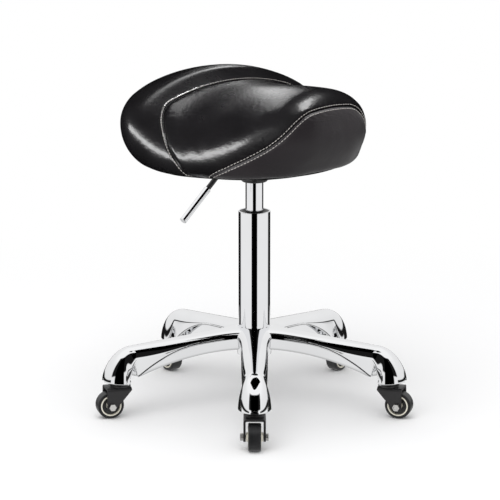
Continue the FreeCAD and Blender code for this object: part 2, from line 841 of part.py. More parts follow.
def plate_bolts():
    """Hexagon bolts up through the plate's flanges into the tee nuts."""
    flange = board_bottom - PLATE_SHEET
    bolts = []
    for x, y in bolt_places():
        head = along_z(hexagon(BOLT_ACROSS_FLATS), flange - BOLT_HEAD_HEIGHT, flange)
        shank = Part.makeCylinder(AXLE_RADIUS, PLATE_SHEET + BOARD_THICKNESS, Vector(0, 0, flange))
        bolts.append(moved(head.fuse(shank).removeSplitter(), x, y))
    return Part.makeCompound(bolts)


def tee_nuts():
    """Flanged nuts let into the board from above."""
    bore = AXLE_RADIUS + RUNNING_GAP
    nuts = []
    for x, y in bolt_places():
        nut = turned(
            [
                (bore, board_top - TEE_BARREL_LENGTH),
                (TEE_BARREL_RADIUS, board_top - TEE_BARREL_LENGTH),
                (TEE_BARREL_RADIUS, board_top),
                (TEE_FLANGE_RADIUS, board_top),
                (TEE_FLANGE_RADIUS, board_top + TEE_FLANGE),
                (bore, board_top + TEE_FLANGE),
            ]
        )
        nuts.append(moved(nut, x, y))
    return Part.makeCompound(nuts)


def lever_bracket():
    """Folded bracket on the plate's floor, with two ears for the lever's pin, drawn on +X."""
    floor = plate_floor + PLATE_SHEET
    inner = EAR_GAP / 2
    outer = inner + EAR_THICKNESS
    top = lever_level + EAR_TOP
    channel = along_x(
        [
            (-outer, floor),
            (outer, floor),
            (outer, top),
            (inner, top),
            (inner, floor + EAR_THICKNESS),
            (-inner, floor + EAR_THICKNESS),
            (-inner, top),
            (-outer, top),
        ],
        LEVER_PIVOT - EAR_LENGTH / 2,
        LEVER_PIVOT + EAR_LENGTH / 2,
    )
    return channel.cut(lever_pin(RUNNING_GAP))


def lever_pin(gap):
    """Pivot pin of the lever, or its hole with a gap, drawn on +X."""
    half = EAR_GAP / 2 + EAR_THICKNESS + gap
    centre = Vector(LEVER_PIVOT, -half, lever_level)
    return Part.makeCylinder(LEVER_PIN_RADIUS + gap, 2 * half, centre, Vector(0, 1, 0))


def lever_place(distance):
    """Point on the sloping part of the lever, at a distance back from its tip."""
    slope = math.radians(LEVER_SLOPE)
    tip_x = LEVER_REACH
    tip_z = lever_level - (LEVER_REACH - LEVER_BEND) * math.tan(slope)
    return Vector(tip_x - distance * math.cos(slope), 0, tip_z + distance * math.sin(slope))


def lever_rod():
    """Bent rod that runs over the release pin, through the pivot and down out of the seat."""
    slope = math.radians(LEVER_SLOPE)
    setback = LEVER_BEND_RADIUS * math.tan(slope / 2)
    start = Vector(-LEVER_OVERRUN, 0, lever_level)
    before = Vector(LEVER_BEND - setback, 0, lever_level)
    after = Vector(
        LEVER_BEND + setback * math.cos(slope), 0, lever_level - setback * math.sin(slope)
    )
    centre = before - Vector(0, 0, LEVER_BEND_RADIUS)
    via = centre + Vector(math.sin(slope / 2), 0, math.cos(slope / 2)) * LEVER_BEND_RADIUS
    end = lever_place(SLEEVE_END)
    path = Part.Wire(
        [
            Part.LineSegment(start, before).toShape(),
            Part.Arc(before, via, after).toShape(),
            Part.LineSegment(after, end).toShape(),
        ]
    )
    profile = Part.Wire(Part.Circle(start, Vector(1, 0, 0), LEVER_RADIUS).toShape())
    return path.makePipeShell([profile], True, True).cut(lever_pin(RUNNING_GAP))


def lever_sleeve():
    """Chromed handle sleeve, closed and rounded at the tip."""
    tip = lever_place(0)
    back = lever_place(SLEEVE_LENGTH)
    inside_end = lever_place(SLEEVE_END - RUNNING_GAP)
    sleeve = Part.makeCylinder(SLEEVE_RADIUS, SLEEVE_LENGTH, back, tip - back)
    rounded = [e for e in sleeve.Edges if e.Closed and e.CenterOfMass.distanceToPoint(tip) < 1e-3]
    sleeve = sleeve.makeFillet(SLEEVE_ROUND, rounded)
    length = inside_end.distanceToPoint(back)
    return sleeve.cut(Part.makeCylinder(LEVER_RADIUS + RUNNING_GAP, length, back, tip - back))


# Saddle seat, drawn with its front on +X
def eased(share):
    """Smooth step from 0 to 1 with level ends."""
    share = min(max(share, 0), 1)
    return share * share * (3 - 2 * share)


def quarter(share, power):
    """Falls from 1 to 0 like a quarter of a superellipse."""
    share = min(max(share, 0), 1)
    return (1 - share ** power) ** (1 / power)


def seat_half_width(u, inset):
    """Half the width: rounded at both ends, and tapered from the widest place to the front."""
    behind = (SEAT_WIDEST - u) / (SEAT_WIDEST + SEAT_REAR - inset)
    ahead = (u - SEAT_WIDEST) / (SEAT_FRONT - inset - SEAT_WIDEST)
    taper = 1 - FRONT_TAPER * max(0, ahead) ** TAPER_POWER
    ends = quarter(behind, REAR_ROUNDNESS) * quarter(ahead, FRONT_ROUNDNESS)
    return (SEAT_HALF_WIDTH - inset) * taper * ends


def along_saddle(u, side, rear, front):
    """A value for the middle of the saddle's sides, eased into the values for its ends."""
    back = eased((u - SIDE_REAR_END) / (REAR_SIDE_START - SIDE_REAR_END))
    ahead = eased((u - SIDE_FRONT_END) / (FRONT_SIDE_START - SIDE_FRONT_END))
    return side + (rear - side) * back + (front - side) * ahead


def seat_levels(u, inset):
    """Heights of the top line, the girth and the bottom line at a place along the saddle."""
    rear, front = SEAT_REAR - inset, SEAT_FRONT - inset
    girth = along_saddle(u, SIDE_GIRTH_HEIGHT, REAR_GIRTH_HEIGHT, FRONT_GIRTH_HEIGHT)
    dip = eased((u - CANTLE_PLACE) / (VALLEY_PLACE - CANTLE_PLACE))
    climb = eased((u - VALLEY_PLACE) / (POMMEL_PLACE - VALLEY_PLACE))
    crest = CANTLE_HEIGHT + (VALLEY_HEIGHT - CANTLE_HEIGHT) * dip + (POMMEL_HEIGHT - VALLEY_HEIGHT) * climb
    ends = quarter((CANTLE_PLACE - u) / (CANTLE_PLACE + rear), 2)
    ends *= quarter((u - POMMEL_PLACE) / (front - POMMEL_PLACE), 2)
    top = girth + (crest - inset - girth) * ends
    share = -u / rear if u < 0 else u / front
    roll = (share - UNDERSIDE_ROLL) / (1 - UNDERSIDE_ROLL)
    low = UNDERSIDE_RISE * share ** 2 + inset
    curl = math.sqrt(1 - min(max(roll, 0), 1) ** UNDERSIDE_ROUNDNESS)
    bottom = girth - (girth - low) * curl
    return seat_bottom + top, seat_bottom + girth, seat_bottom + bottom


def arch(half, height, edge):
    """Half of a three-centred arch: the end of its side arc, and the middle of that arc."""
    edge = min(edge, EDGE_RADIUS_SHARE * half, EDGE_RADIUS_SHARE * height)
    crown = (half ** 2 + height ** 2 - 2 * half * edge) / (2 * (height - edge))
    lean = math.atan2(half - edge, crown - height)
    centre = half - edge
    rise = (math.pi / 2 - lean) / 2
    via = (centre + edge * math.cos(rise), edge * math.sin(rise))
    end = (centre + edge * math.sin(lean), edge * math.cos(lean))
    return via, end


def seat_section(u, inset):
    """Closed section of the saddle across its length, of six arcs."""
    half = seat_half_width(u, inset)
    top, girth, bottom = seat_levels(u, inset)
    top_edge = along_saddle(u, SIDE_TOP_EDGE, REAR_TOP_EDGE, FRONT_TOP_EDGE)
    low_edge = along_saddle(u, SIDE_LOW_EDGE, REAR_LOW_EDGE, FRONT_LOW_EDGE)
    (tv, tvz), (te, tez) = arch(half, top - girth, top_edge - inset)
    (bv, bvz), (be, bez) = arch(half, girth - bottom, low_edge - inset)
    outline = [
        (half, girth),
        ((tv, girth + tvz), (te, girth + tez)),
        ((0, top), (-te, girth + tez)),
        ((-tv, girth + tvz), (-half, girth)),
        ((-bv, girth - bvz), (-be, girth - bez)),
        ((0, bottom), (be, girth - bez)),
        ((bv, girth - bvz), (half, girth)),
    ]
    return wire_of(outline, lambda y, z: Vector(u, y, z))


def seat_form(inset):
    """Loft of the whole saddle, drawn in by an inset, with sections closer at both ends."""
    middle = (SEAT_FRONT - SEAT_REAR) / 2
    half = (SEAT_FRONT + SEAT_REAR) / 2 - inset
    sweep = 180 - 2 * FIRST_SECTION_ANGLE
    angles = [FIRST_SECTION_ANGLE + sweep * k / (SECTION_COUNT - 1) for k in range(SECTION_COUNT)]
    places = [middle - half * math.cos(math.radians(angle)) for angle in angles]
    return Part.makeLoft([seat_section(u, inset) for u in places], True, False)


def cantle_seam_place(height):
    """Where the seam of the cantle panel lies at a height: it leans forwards down the sides."""
    below = max(0, CANTLE_LEAN_HEIGHT - height)
    return CANTLE_SEAM + CANTLE_SEAM_LEAN * below ** 2 / (below + CANTLE_LEAN_EASE)


def pommel_seam_place(height):
    """Where the seam of the pommel panel lies at a height: a slope that eases into an upright."""
    slope = POMMEL_SEAM_FOOT + (height - UNDER_SEAM_HEIGHT) / math.tan(math.radians(POMMEL_SEAM_SLOPE))
    apart = math.hypot(POMMEL_SEAM - slope, POMMEL_SEAM_EASE)
    return (POMMEL_SEAM + slope - apart) / 2


def beyond_seam(seam_place, shift, far):
    """Everything between a seam, shifted along the saddle, and a far place."""
    wide = 2 * SEAT_HALF_WIDTH
    highest = CANTLE_HEIGHT + LEATHER
    heights = [highest * k / (SEAM_POINT_COUNT - 1) for k in range(SEAM_POINT_COUNT)]
    points = [Vector(seam_place(h) + shift, -wide, seat_bottom + h) for h in heights]
    curve = Part.BSplineCurve()
    curve.interpolate(points)
    low, high = Vector(far, -wide, points[0].z), Vector(far, -wide, points[-1].z)
    sides = Part.makePolygon([points[-1], high, low, points[0]])
    return Part.Face(Part.Wire([curve.toShape()] + sides.Edges)).extrude(Vector(0, 2 * wide, 0))


def behind_cantle_seam(shift):
    """Everything behind the seam of the cantle panel."""
    return beyond_seam(cantle_seam_place, shift, -2 * SEAT_REAR)


def below_pommel_seam(shift):
    """Everything in front of and below the seam of the pommel panel."""
    return beyond_seam(pommel_seam_place, shift, 2 * SEAT_FRONT)


def below_level(height):
    """Everything below a level."""
    wide = 2 * SEAT_HALF_WIDTH
    box = Part.makeBox(2 * wide, 2 * wide, wide)
    return moved(box, -wide, -wide, height - wide)


def cover_panels():
    """Leather skin, cut at its seams into the rear, middle, front and under panels."""
    skin = seat_form(0).cut(seat_form(LEATHER))
    level = seat_bottom + UNDER_SEAM_HEIGHT
    half = SEAM_GAP / 2
    upper = skin.cut(below_level(level + half))
    rear = upper.common(behind_cantle_seam(-half))
    front = upper.common(below_pommel_seam(half))
    middle = upper.cut(behind_cantle_seam(half)).cut(below_pommel_seam(-half))
    slot_half = LEVER_SLOT_WIDTH / 2
    slot = along_z(
        [
            (LEVER_SLOT_START, -slot_half),
            (LEVER_SLOT_END, -slot_half),
            ((LEVER_SLOT_END + slot_half, 0), (LEVER_SLOT_END, slot_half)),
            (LEVER_SLOT_START, slot_half),
            ((LEVER_SLOT_START - slot_half, 0), (LEVER_SLOT_START, -slot_half)),
        ],
        socket_bottom,
        board_bottom,
    )
    slot = swung(slot, LEVER_AZIMUTH - SEAT_AZIMUTH)
    hole_radius = SOCKET_RADIUS + SOCKET_HOLE_MARGIN
    hole = Part.makeCylinder(hole_radius, 2 * SOCKET_HEIGHT, Vector(0, 0, socket_bottom))
    under = skin.common(below_level(level - half)).cut([hole, slot])
    return {"cover_rear": rear, "cover_middle": middle, "cover_front": front, "under_cover": under}


def board_blank(grow):
    """Outline of the seat board, grown on every side by a gap."""
    wide = SEAT_HALF_WIDTH - BOARD_INSET + grow
    rear = -(SEAT_REAR - BOARD_INSET) - grow
    front = SEAT_FRONT - BOARD_INSET + grow
    narrow = BOARD_FRONT_HALF + grow
    corner = front - BOARD_FRONT_SETBACK
    outline = [
        (corner, -narrow),
        ((front, 0), (corner, narrow)),
        (SEAT_WIDEST, wide),
        ((rear, 0), (SEAT_WIDEST, -wide)),
    ]
    return along_z(outline, board_bottom - grow, board_top + grow)


def seat_board():
    """Plywood board with holes for the tee nuts."""
    radius = TEE_BARREL_RADIUS + SEATING_GAP
    hole = Part.makeCylinder(radius, BOARD_THICKNESS, Vector(0, 0, board_bottom))
    return board_blank(0).cut([moved(hole, x, y) for x, y in bolt_places()])


def foam_core():
    """Moulded foam with the board set in it, and a pocket below for the plate and the lever."""
    foam = seat_form(LEATHER + SOFT_GAP).cut(board_blank(SOFT_GAP))
    reach = PLATE_FLOOR_HALF + PLATE_SLOPE + PLATE_FLANGE + POCKET_MARGIN
    side = PLATE_LENGTH / 2 + POCKET_MARGIN
    pocket = along_z(
        [(-reach, -POCKET_LEVER_REACH), (reach, -POCKET_LEVER_REACH), (reach, side), (-reach, side)],
        socket_bottom,
        board_bottom,
    )
    radius = TEE_FLANGE_RADIUS + SOFT_GAP
    recess = Part.makeCylinder(radius, TEE_FLANGE + SOFT_GAP, Vector(0, 0, board_top))
    return foam.cut([pocket] + [moved(recess, x, y) for x, y in bolt_places()])


os.makedirs("parts", exist_ok=True)

save("star_base", star_base())
save("castor_stems", Part.makeCompound([swung(castor_stem(), a) for a in leg_azimuths()]))
save("castor_caps", Part.makeCompound([swung(castor_cap(), a) for a in leg_azimuths()]))
castor_pieces = {
    "castor_fork": castor_fork(),
    "castor_axle_bolt": axle_bolt(),
    "castor_tyre": tyre(),
    "castor_rim": wheel_rim(),
    "castor_hub_caps": hub_caps(),
}
for piece, shape in castor_pieces.items():
    for number, azimuth in enumerate(leg_azimuths(), start=1):
        save("%s_%d" % (piece, number), swung(shape, azimuth))

save("stand_tube", stand_tube())
save("guide_bush", guide_bush())
save("foot_plate", foot_plate())
lower_washer_top = foot_plate_top + THRUST_WASHER
save("thrust_washer_lower", ring(THRUST_RADIUS, ROD_RADIUS, foot_plate_top, lower_washer_top))
save("thrust_balls", thrust_balls())
upper_washer_bore = ROD_NECK_RADIUS + RUNNING_GAP
save("thrust_washer_upper", ring(THRUST_RADIUS, upper_washer_bore, upper_washer_bottom, bumper_bottom))
bumper_top = bumper_bottom + BUMPER_HEIGHT
save("bumper", ring(BUMPER_RADIUS, ROD_RADIUS + SEATING_GAP, bumper_bottom, bumper_top))
save("piston_rod", piston_rod())
save("rod_clip", rod_clip())
piston_outer = tube_bore - RUNNING_GAP
piston_inner = ROD_SPIGOT_RADIUS + RUNNING_GAP
save("piston", ring(piston_outer, piston_inner, piston_bottom, piston_bottom + PISTON_LENGTH))
guide_inner = ROD_RADIUS + RUNNING_GAP
save("rod_guide", ring(piston_outer, guide_inner, tube_bottom, tube_bottom + ROD_GUIDE_LENGTH))
save("pressure_tube", pressure_tube())
save("release_pin", release_pin())

seat_pieces = {
    "seat_socket": seat_socket(),
    "seat_plate": seat_plate(),
    "plate_bolts": plate_bolts(),
    "tee_nuts": tee_nuts(),
    "seat_board": seat_board(),
    "foam_core": foam_core(),
}
seat_pieces.update(cover_panels())
for piece, shape in seat_pieces.items():
    save(piece, swung(shape, SEAT_AZIMUTH))

lever_pieces = {
    "lever_bracket": lever_bracket(),
    "lever_pin": lever_pin(0),
    "lever_rod": lever_rod(),
    "lever_sleeve": lever_sleeve(),
}
for piece, shape in lever_pieces.items():
    save(piece, swung(shape, LEVER_AZIMUTH))
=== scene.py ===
"""Looks of a rolling saddle stool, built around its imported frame.

Sizes are in metres. Z is up, the origin is on the floor under the column, and the front leg points to -Y.
The saddle has its own axes, u forwards and v to its left, which are turned to the saddle's azimuth.
"""

import logging
import math
from collections.abc import Callable
from dataclasses import dataclass
from enum import Enum

import bmesh
import bpy
import numpy as np
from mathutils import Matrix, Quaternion, Vector


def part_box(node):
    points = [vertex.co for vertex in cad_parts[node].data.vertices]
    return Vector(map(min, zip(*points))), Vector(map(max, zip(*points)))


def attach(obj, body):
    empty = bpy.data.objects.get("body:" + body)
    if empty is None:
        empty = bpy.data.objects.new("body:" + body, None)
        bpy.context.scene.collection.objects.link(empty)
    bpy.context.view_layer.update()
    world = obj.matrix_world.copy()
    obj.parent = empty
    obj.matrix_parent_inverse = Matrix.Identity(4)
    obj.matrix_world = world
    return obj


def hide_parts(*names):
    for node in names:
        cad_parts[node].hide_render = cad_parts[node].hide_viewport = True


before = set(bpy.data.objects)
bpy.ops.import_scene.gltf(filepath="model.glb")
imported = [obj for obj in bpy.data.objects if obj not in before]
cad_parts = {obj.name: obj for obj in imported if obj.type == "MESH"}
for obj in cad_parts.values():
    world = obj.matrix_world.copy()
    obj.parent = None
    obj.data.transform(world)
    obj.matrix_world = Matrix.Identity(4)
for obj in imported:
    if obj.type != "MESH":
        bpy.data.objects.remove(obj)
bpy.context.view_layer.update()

LOG = logging.getLogger("saddle_stool")
LEG_AZIMUTHS = tuple(-90 + 72 * k for k in range(5))
WHITE = (1.0, 1.0, 1.0, 1.0)
BLACK = (0.0, 0.0, 0.0, 1.0)
TINY = 1e-6
NO_LENGTH = 1e-13
WELD_DIGITS = 6
HALVINGS = 40
HALF_TURN = 180.0
STRAIGHT_DOWN = 90.0
AHEAD = 0.0
MERGE_GAP = 2e-5
WELD_GAP = 1e-5
MOST_ROUNDING = 0.48
FINE_EDGE = 0.0004
NO_EDGE = 0.0
MIDDLE_HALF = (0.25, 0.75)
TINT_STOPS = (0.3, 0.7)
EDGE_SEGMENTS = 2
EDGE_ANGLE = math.radians(38)
Array = np.ndarray
Piece = bpy.types.Object


def smooth_step(low: float, high: float, value: Array) -> Array:
    """Rise from 0 to 1 between two values with level ends, 3x^2 - 2x^3.

    Args:
        low: Value where the rise starts.
        high: Value where it ends.
        value: Values to map.

    Returns:
        The share of the rise, from 0 to 1.
    """
    share = np.clip((value - low) / (high - low), 0.0, 1.0)
    return share * share * (3.0 - 2.0 * share)


def grid_quads(rows: int, cols: int, wrap_rows: bool = False, wrap_cols: bool = False) -> Array:
    """Corner numbers of the quads of a grid, where point (i, j) has the number i * cols + j.

    Args:
        rows: Points along the first direction.
        cols: Points along the second direction.
        wrap_rows: Whether the last row joins the first.
        wrap_cols: Whether the last column joins the first.

    Returns:
        One row of four corner numbers for each quad.
    """
    first = np.arange(rows if wrap_rows else rows - 1)
    second = np.arange(cols if wrap_cols else cols - 1)
    i, j = np.meshgrid(first, second, indexing="ij")
    down, right = (i + 1) % rows, (j + 1) % cols
    corners = [i * cols + j, down * cols + j, down * cols + right, i * cols + right]
    return np.stack(corners, axis=-1).reshape(-1, 4)


def stacked(parts: list[tuple[Array, Array]]) -> tuple[Array, Array]:
    """Join several (points, quads) pairs into one.

    Args:
        parts: Points and quads of each shape.

    Returns:
        All points, and all quads with their numbers moved up.
    """
    starts = np.cumsum([0] + [len(points) for points, _ in parts[:-1]])
    quads = [shape[1] + start for shape, start in zip(parts, starts)]
    return np.concatenate([points for points, _ in parts]), np.concatenate(quads)


def new_piece(name: str, points: Array, quads: Array) -> Piece:
    """Make a smooth-shaded mesh object at the origin.

    Args:
        name: Name of the piece.
        points: Points, three numbers each, in any grid shape.
        quads: Corner numbers of its quads.

    Returns:
        The new object.
    """
    flat = points.reshape(-1, 3)
    mesh = bpy.data.meshes.new(name)
    mesh.vertices.add(len(flat))
    mesh.vertices.foreach_set("co", flat.astype(np.float32).ravel())
    mesh.loops.add(quads.size)
    mesh.loops.foreach_set("vertex_index", quads.astype(np.int32).ravel())
    mesh.polygons.add(len(quads))
    mesh.polygons.foreach_set("loop_start", np.arange(0, quads.size, 4, dtype=np.int32))
    mesh.polygons.foreach_set("use_smooth", np.ones(len(quads), dtype=bool))
    mesh.update(calc_edges=True)
    piece = bpy.data.objects.new(name, mesh)
    bpy.context.scene.collection.objects.link(piece)
    return piece


def close_up(piece: Piece, outwards: bool = True, distance: float = MERGE_GAP) -> Piece:
    """Merge points that coincide, drop faces of no area and turn the faces outwards.

    Args:
        piece: Mesh object to mend.
        outwards: Whether the faces of a closed shape are turned to the outside.
        distance: Points nearer than this are merged.

    Returns:
        The same object.
    """
    shape = bmesh.new()
    shape.from_mesh(piece.data)
    bmesh.ops.remove_doubles(shape, verts=shape.verts, dist=distance)
    bmesh.ops.dissolve_degenerate(shape, edges=shape.edges, dist=distance / 10)
    if outwards:
        bmesh.ops.recalc_face_normals(shape, faces=shape.faces)
    shape.to_mesh(piece.data)
    shape.free()
    return piece


def ring(inner: float, outer: float, low: float, high: float) -> list[tuple[float, float]]:
    """Outline of a ring of rectangular section, as (radius, height) corners."""
    return [(inner, low), (outer, low), (outer, high), (inner, high)]


def rounded(outline: list[tuple[float, float]], radius: float, steps: int = 6) -> Array:
    """Closed outline whose corners are rounded by parabolas, (1-s)^2 A + 2s(1-s) C + s^2 B about a corner C.

    Args:
        outline: Corner points.
        radius: Distance from a corner to where its rounding starts.
        steps: Points on each rounding.

    Returns:
        The rounded outline's points.
    """
    corner = np.asarray(outline, dtype=float)
    back = np.roll(corner, 1, axis=0) - corner
    ahead = np.roll(corner, -1, axis=0) - corner
    back_length = np.linalg.norm(back, axis=1, keepdims=True)
    ahead_length = np.linalg.norm(ahead, axis=1, keepdims=True)
    reach = np.minimum(radius, MOST_ROUNDING * np.minimum(back_length, ahead_length))
    start = corner + back / np.maximum(back_length, TINY) * reach
    end = corner + ahead / np.maximum(ahead_length, TINY) * reach
    s = np.linspace(0.0, 1.0, steps)[None, :, None]
    curve = (1 - s) ** 2 * start[:, None] + 2 * s * (1 - s) * corner[:, None] + s ** 2 * end[:, None]
    return curve.reshape(-1, 2)


def turned(profile: Array, segments: int = 96, closed: bool = True) -> tuple[Array, Array]:
    """Surface of revolution about Z: each (radius, height) point carried round a circle.

    Args:
        profile: Outline of (radius, height) points, counted so that faces point outwards.
        segments: Points on each circle.
        closed: Whether the outline is a closed loop.

    Returns:
        Points and quads.
    """
    angle = np.linspace(0.0, 2 * math.pi, segments, endpoint=False)
    radius, height = profile[:, 0, None], profile[:, 1, None]
    x, y = radius * np.cos(angle), radius * np.sin(angle)
    points = np.stack([x, y, np.broadcast_to(height, x.shape)], axis=-1)
    return points.reshape(-1, 3), grid_quads(len(profile), segments, closed, True)


def tube_along(path: Array, radius: float, segments: int = 12) -> tuple[Array, Array]:
    """Round tube on a closed path: circles in the plane of each point's side and rise directions.

    Args:
        path: Points of the path.
        radius: Radius of the tube.
        segments: Points on each circle.

    Returns:
        Points and quads.
    """
    ahead = unit(np.roll(path, -1, axis=0) - np.roll(path, 1, axis=0))
    side = unit(np.cross(ahead, [0.0, 0.0, 1.0]))
    rise = np.cross(side, ahead)
    angle = np.linspace(0.0, 2 * math.pi, segments, endpoint=False)
    circle = np.cos(angle)[None, :, None] * side[:, None] + np.sin(angle)[None, :, None] * rise[:, None]
    points = path[:, None] + radius * circle
    return points.reshape(-1, 3), grid_quads(len(path), segments, True, True)


def swung(points: Array, azimuth: float) -> Array:
    """Turn points about the column's axis.

    Args:
        points: Points in any grid shape.
        azimuth: Angle in degrees.

    Returns:
        The turned points.
    """
    angle = math.radians(azimuth)
    cos, sin = math.cos(angle), math.sin(angle)
    turn = np.array([[cos, sin, 0.0], [-sin, cos, 0.0], [0.0, 0.0, 1.0]])
    return points @ turn


def halved(low: Array, high: Array, holds: Callable[[Array], Array]) -> Array:
    """Where something that holds at the low end stops holding, by halving the interval.

    Args:
        low: Places where it holds.
        high: Places where it does not.
        holds: Tells for each place whether it holds.

    Returns:
        The middle of the last interval.
    """
    for _ in range(HALVINGS):
        middle = (low + high) / 2
        still = holds(middle)
        low = np.where(still, middle, low)
        high = np.where(still, high, middle)
    return (low + high) / 2


def unit(vectors: Array) -> Array:
    """Vectors along the last axis, brought to length one."""
    return vectors / np.linalg.norm(vectors, axis=-1, keepdims=True)


def toward(azimuth: float, elevation: float) -> Vector:
    """Direction by angles in degrees, where azimuth 0 is the camera's side and + is its right."""
    turn, rise = math.radians(azimuth), math.radians(elevation)
    return Vector((math.sin(turn) * math.cos(rise), -math.cos(turn) * math.cos(rise), math.sin(rise)))


def thicken(piece: Piece, name: str, thickness: float) -> None:
    """Give a skin its thickness on the inside, by a named modifier."""
    shell = piece.modifiers.new(name, "SOLIDIFY")
    shell.thickness = thickness
    shell.offset = -1.0


class NodeGraph:
    """A tree of shader nodes under construction: adds nodes and links them by socket name."""

    def __init__(self, tree: bpy.types.NodeTree) -> None:
        """Work on a node tree."""
        self.tree = tree

    def add(self, kind: str, inputs: dict | None = None, **settings: object) -> bpy.types.Node:
        """Add a node.

        Args:
            kind: Blender's name of the node's type.
            inputs: Value or output socket for each named input.
            settings: Values for the node's own properties.

        Returns:
            The node.
        """
        node = self.tree.nodes.new(kind)
        for name, value in settings.items():
            setattr(node, name, value)
        for name, value in (inputs or {}).items():
            self.put(node.inputs[name], value)
        return node

    def put(self, socket: bpy.types.NodeSocket, value: object) -> None:
        """Link an output to a socket, or set the socket's own value."""
        if isinstance(value, bpy.types.NodeSocket):
            self.tree.links.new(value, socket)
        else:
            socket.default_value = value

    def math(self, operation: str, first: object, second: object = None) -> bpy.types.NodeSocket:
        """Add a math node on one or two values."""
        node = self.add("ShaderNodeMath", {0: first}, operation=operation)
        if second is not None:
            self.put(node.inputs[1], second)
        return node.outputs["Value"]

    def mixed(self, factor: object, first: object, second: object) -> bpy.types.NodeSocket:
        """Mix two numbers by a factor."""
        inputs = {"Factor": factor, "A": first, "B": second}
        return self.add("ShaderNodeMix", inputs, data_type="FLOAT").outputs["Result"]


class MaterialGraph(NodeGraph):
    """A material under construction, with its principled shader and the piece's own coordinates."""

    def __init__(self, name: str) -> None:
        """Start a material."""
        self.material = bpy.data.materials.new(name)
        self.material.use_nodes = True
        super().__init__(self.material.node_tree)
        self.shader = self.tree.nodes["Principled BSDF"]
        self.coordinates = self.add("ShaderNodeTexCoord").outputs["Object"]

    def show(self, shader: bpy.types.NodeSocket) -> None:
        """Let a shader's output be what the material shows."""
        self.put(self.tree.nodes["Material Output"].inputs["Surface"], shader)

    def finish_with(self, **values: object) -> None:
        """Set the shader's sockets, named with underscores for spaces."""
        for name, value in values.items():
            self.put(self.shader.inputs[name.replace("_", " ")], value)

    def noise(self, scale: float, detail: float = 3.0, stretch: tuple = (1, 1, 1)) -> bpy.types.NodeSocket:
        """Soft noise on the piece's coordinates.

        Args:
            scale: Bumps per metre.
            detail: Octaves of finer noise.
            stretch: Scale along each axis.

        Returns:
            The noise factor.
        """
        place = self.add("ShaderNodeMapping", {"Vector": self.coordinates, "Scale": stretch})
        inputs = {"Vector": place.outputs["Vector"], "Scale": scale, "Detail": detail}
        return self.add("ShaderNodeTexNoise", inputs).outputs["Fac"]

    def spread(self, factor: bpy.types.NodeSocket, low: float, high: float) -> bpy.types.NodeSocket:
        """Map a factor's middle half to a range of values."""
        inputs = {"Value": factor, "To Min": low, "To Max": high}
        inputs["From Min"], inputs["From Max"] = MIDDLE_HALF
        return self.add("ShaderNodeMapRange", inputs).outputs["Result"]

    def tint(self, factor: bpy.types.NodeSocket, dark: tuple, light: tuple) -> bpy.types.NodeSocket:
        """Mix two colours by a factor."""
        ramp = self.add("ShaderNodeValToRGB", {"Fac": factor})
        for element, position, color in zip(ramp.color_ramp.elements, TINT_STOPS, (dark, light)):
            element.position = position
            element.color = (*color, 1.0)
        return ramp.outputs["Color"]

    def bump(self, height: bpy.types.NodeSocket, depth: float, over: object = None) -> bpy.types.NodeSocket:
        """Bump of a depth in metres, on top of another bump if one is given."""
        inputs = {"Height": height, "Distance": depth, "Strength": 1.0}
        if over is not None:
            inputs["Normal"] = over
        return self.add("ShaderNodeBump", inputs).outputs["Normal"]


@dataclass(frozen=True)
class Metal:
    """Bare or plated metal, with faint wipe marks in its gloss and a slow waviness."""

    name: str
    color: tuple[float, float, float]
    roughness: float
    marks: float = 0.02
    wave_depth: float = 0.0
    mark_scale: float = 60.0
    mark_stretch: tuple[float, float, float] = (1.0, 1.0, 0.25)
    cloud_scale: float = 25.0
    shade: float = 0.97
    wave_scale: float = 9.0

    def material(self) -> bpy.types.Material:
        """Build the material."""
        graph = MaterialGraph(self.name)
        marks = graph.noise(self.mark_scale, detail=4.0, stretch=self.mark_stretch)
        shade = tuple(self.shade * value for value in self.color)
        graph.finish_with(
            Base_Color=graph.tint(graph.noise(self.cloud_scale), shade, self.color),
            Metallic=1.0,
            Roughness=graph.spread(marks, max(self.roughness - self.marks, 0.0), self.roughness + self.marks),
        )
        if self.wave_depth:
            graph.finish_with(Normal=graph.bump(graph.noise(self.wave_scale, detail=1.0), self.wave_depth))
        return graph.material


@dataclass(frozen=True)
class Coating:
    """Paint, plastic or rubber: a dark or pale body with a fine moulded or sprayed texture."""

    name: str
    color: tuple[float, float, float]
    roughness: float
    grain: float
    depth: float
    worn: float = 1.3
    cloud_scale: float = 45.0
    smoother: float = 0.05
    rougher: float = 0.07

    def material(self) -> bpy.types.Material:
        """Build the material."""
        graph = MaterialGraph(self.name)
        cloud = graph.noise(self.cloud_scale, detail=5.0)
        light = tuple(min(self.worn * value, 1.0) for value in self.color)
        graph.finish_with(
            Base_Color=graph.tint(cloud, self.color, light),
            Roughness=graph.spread(cloud, self.roughness - self.smoother, self.roughness + self.rougher),
            Normal=graph.bump(graph.noise(self.grain), self.depth),
        )
        return graph.material


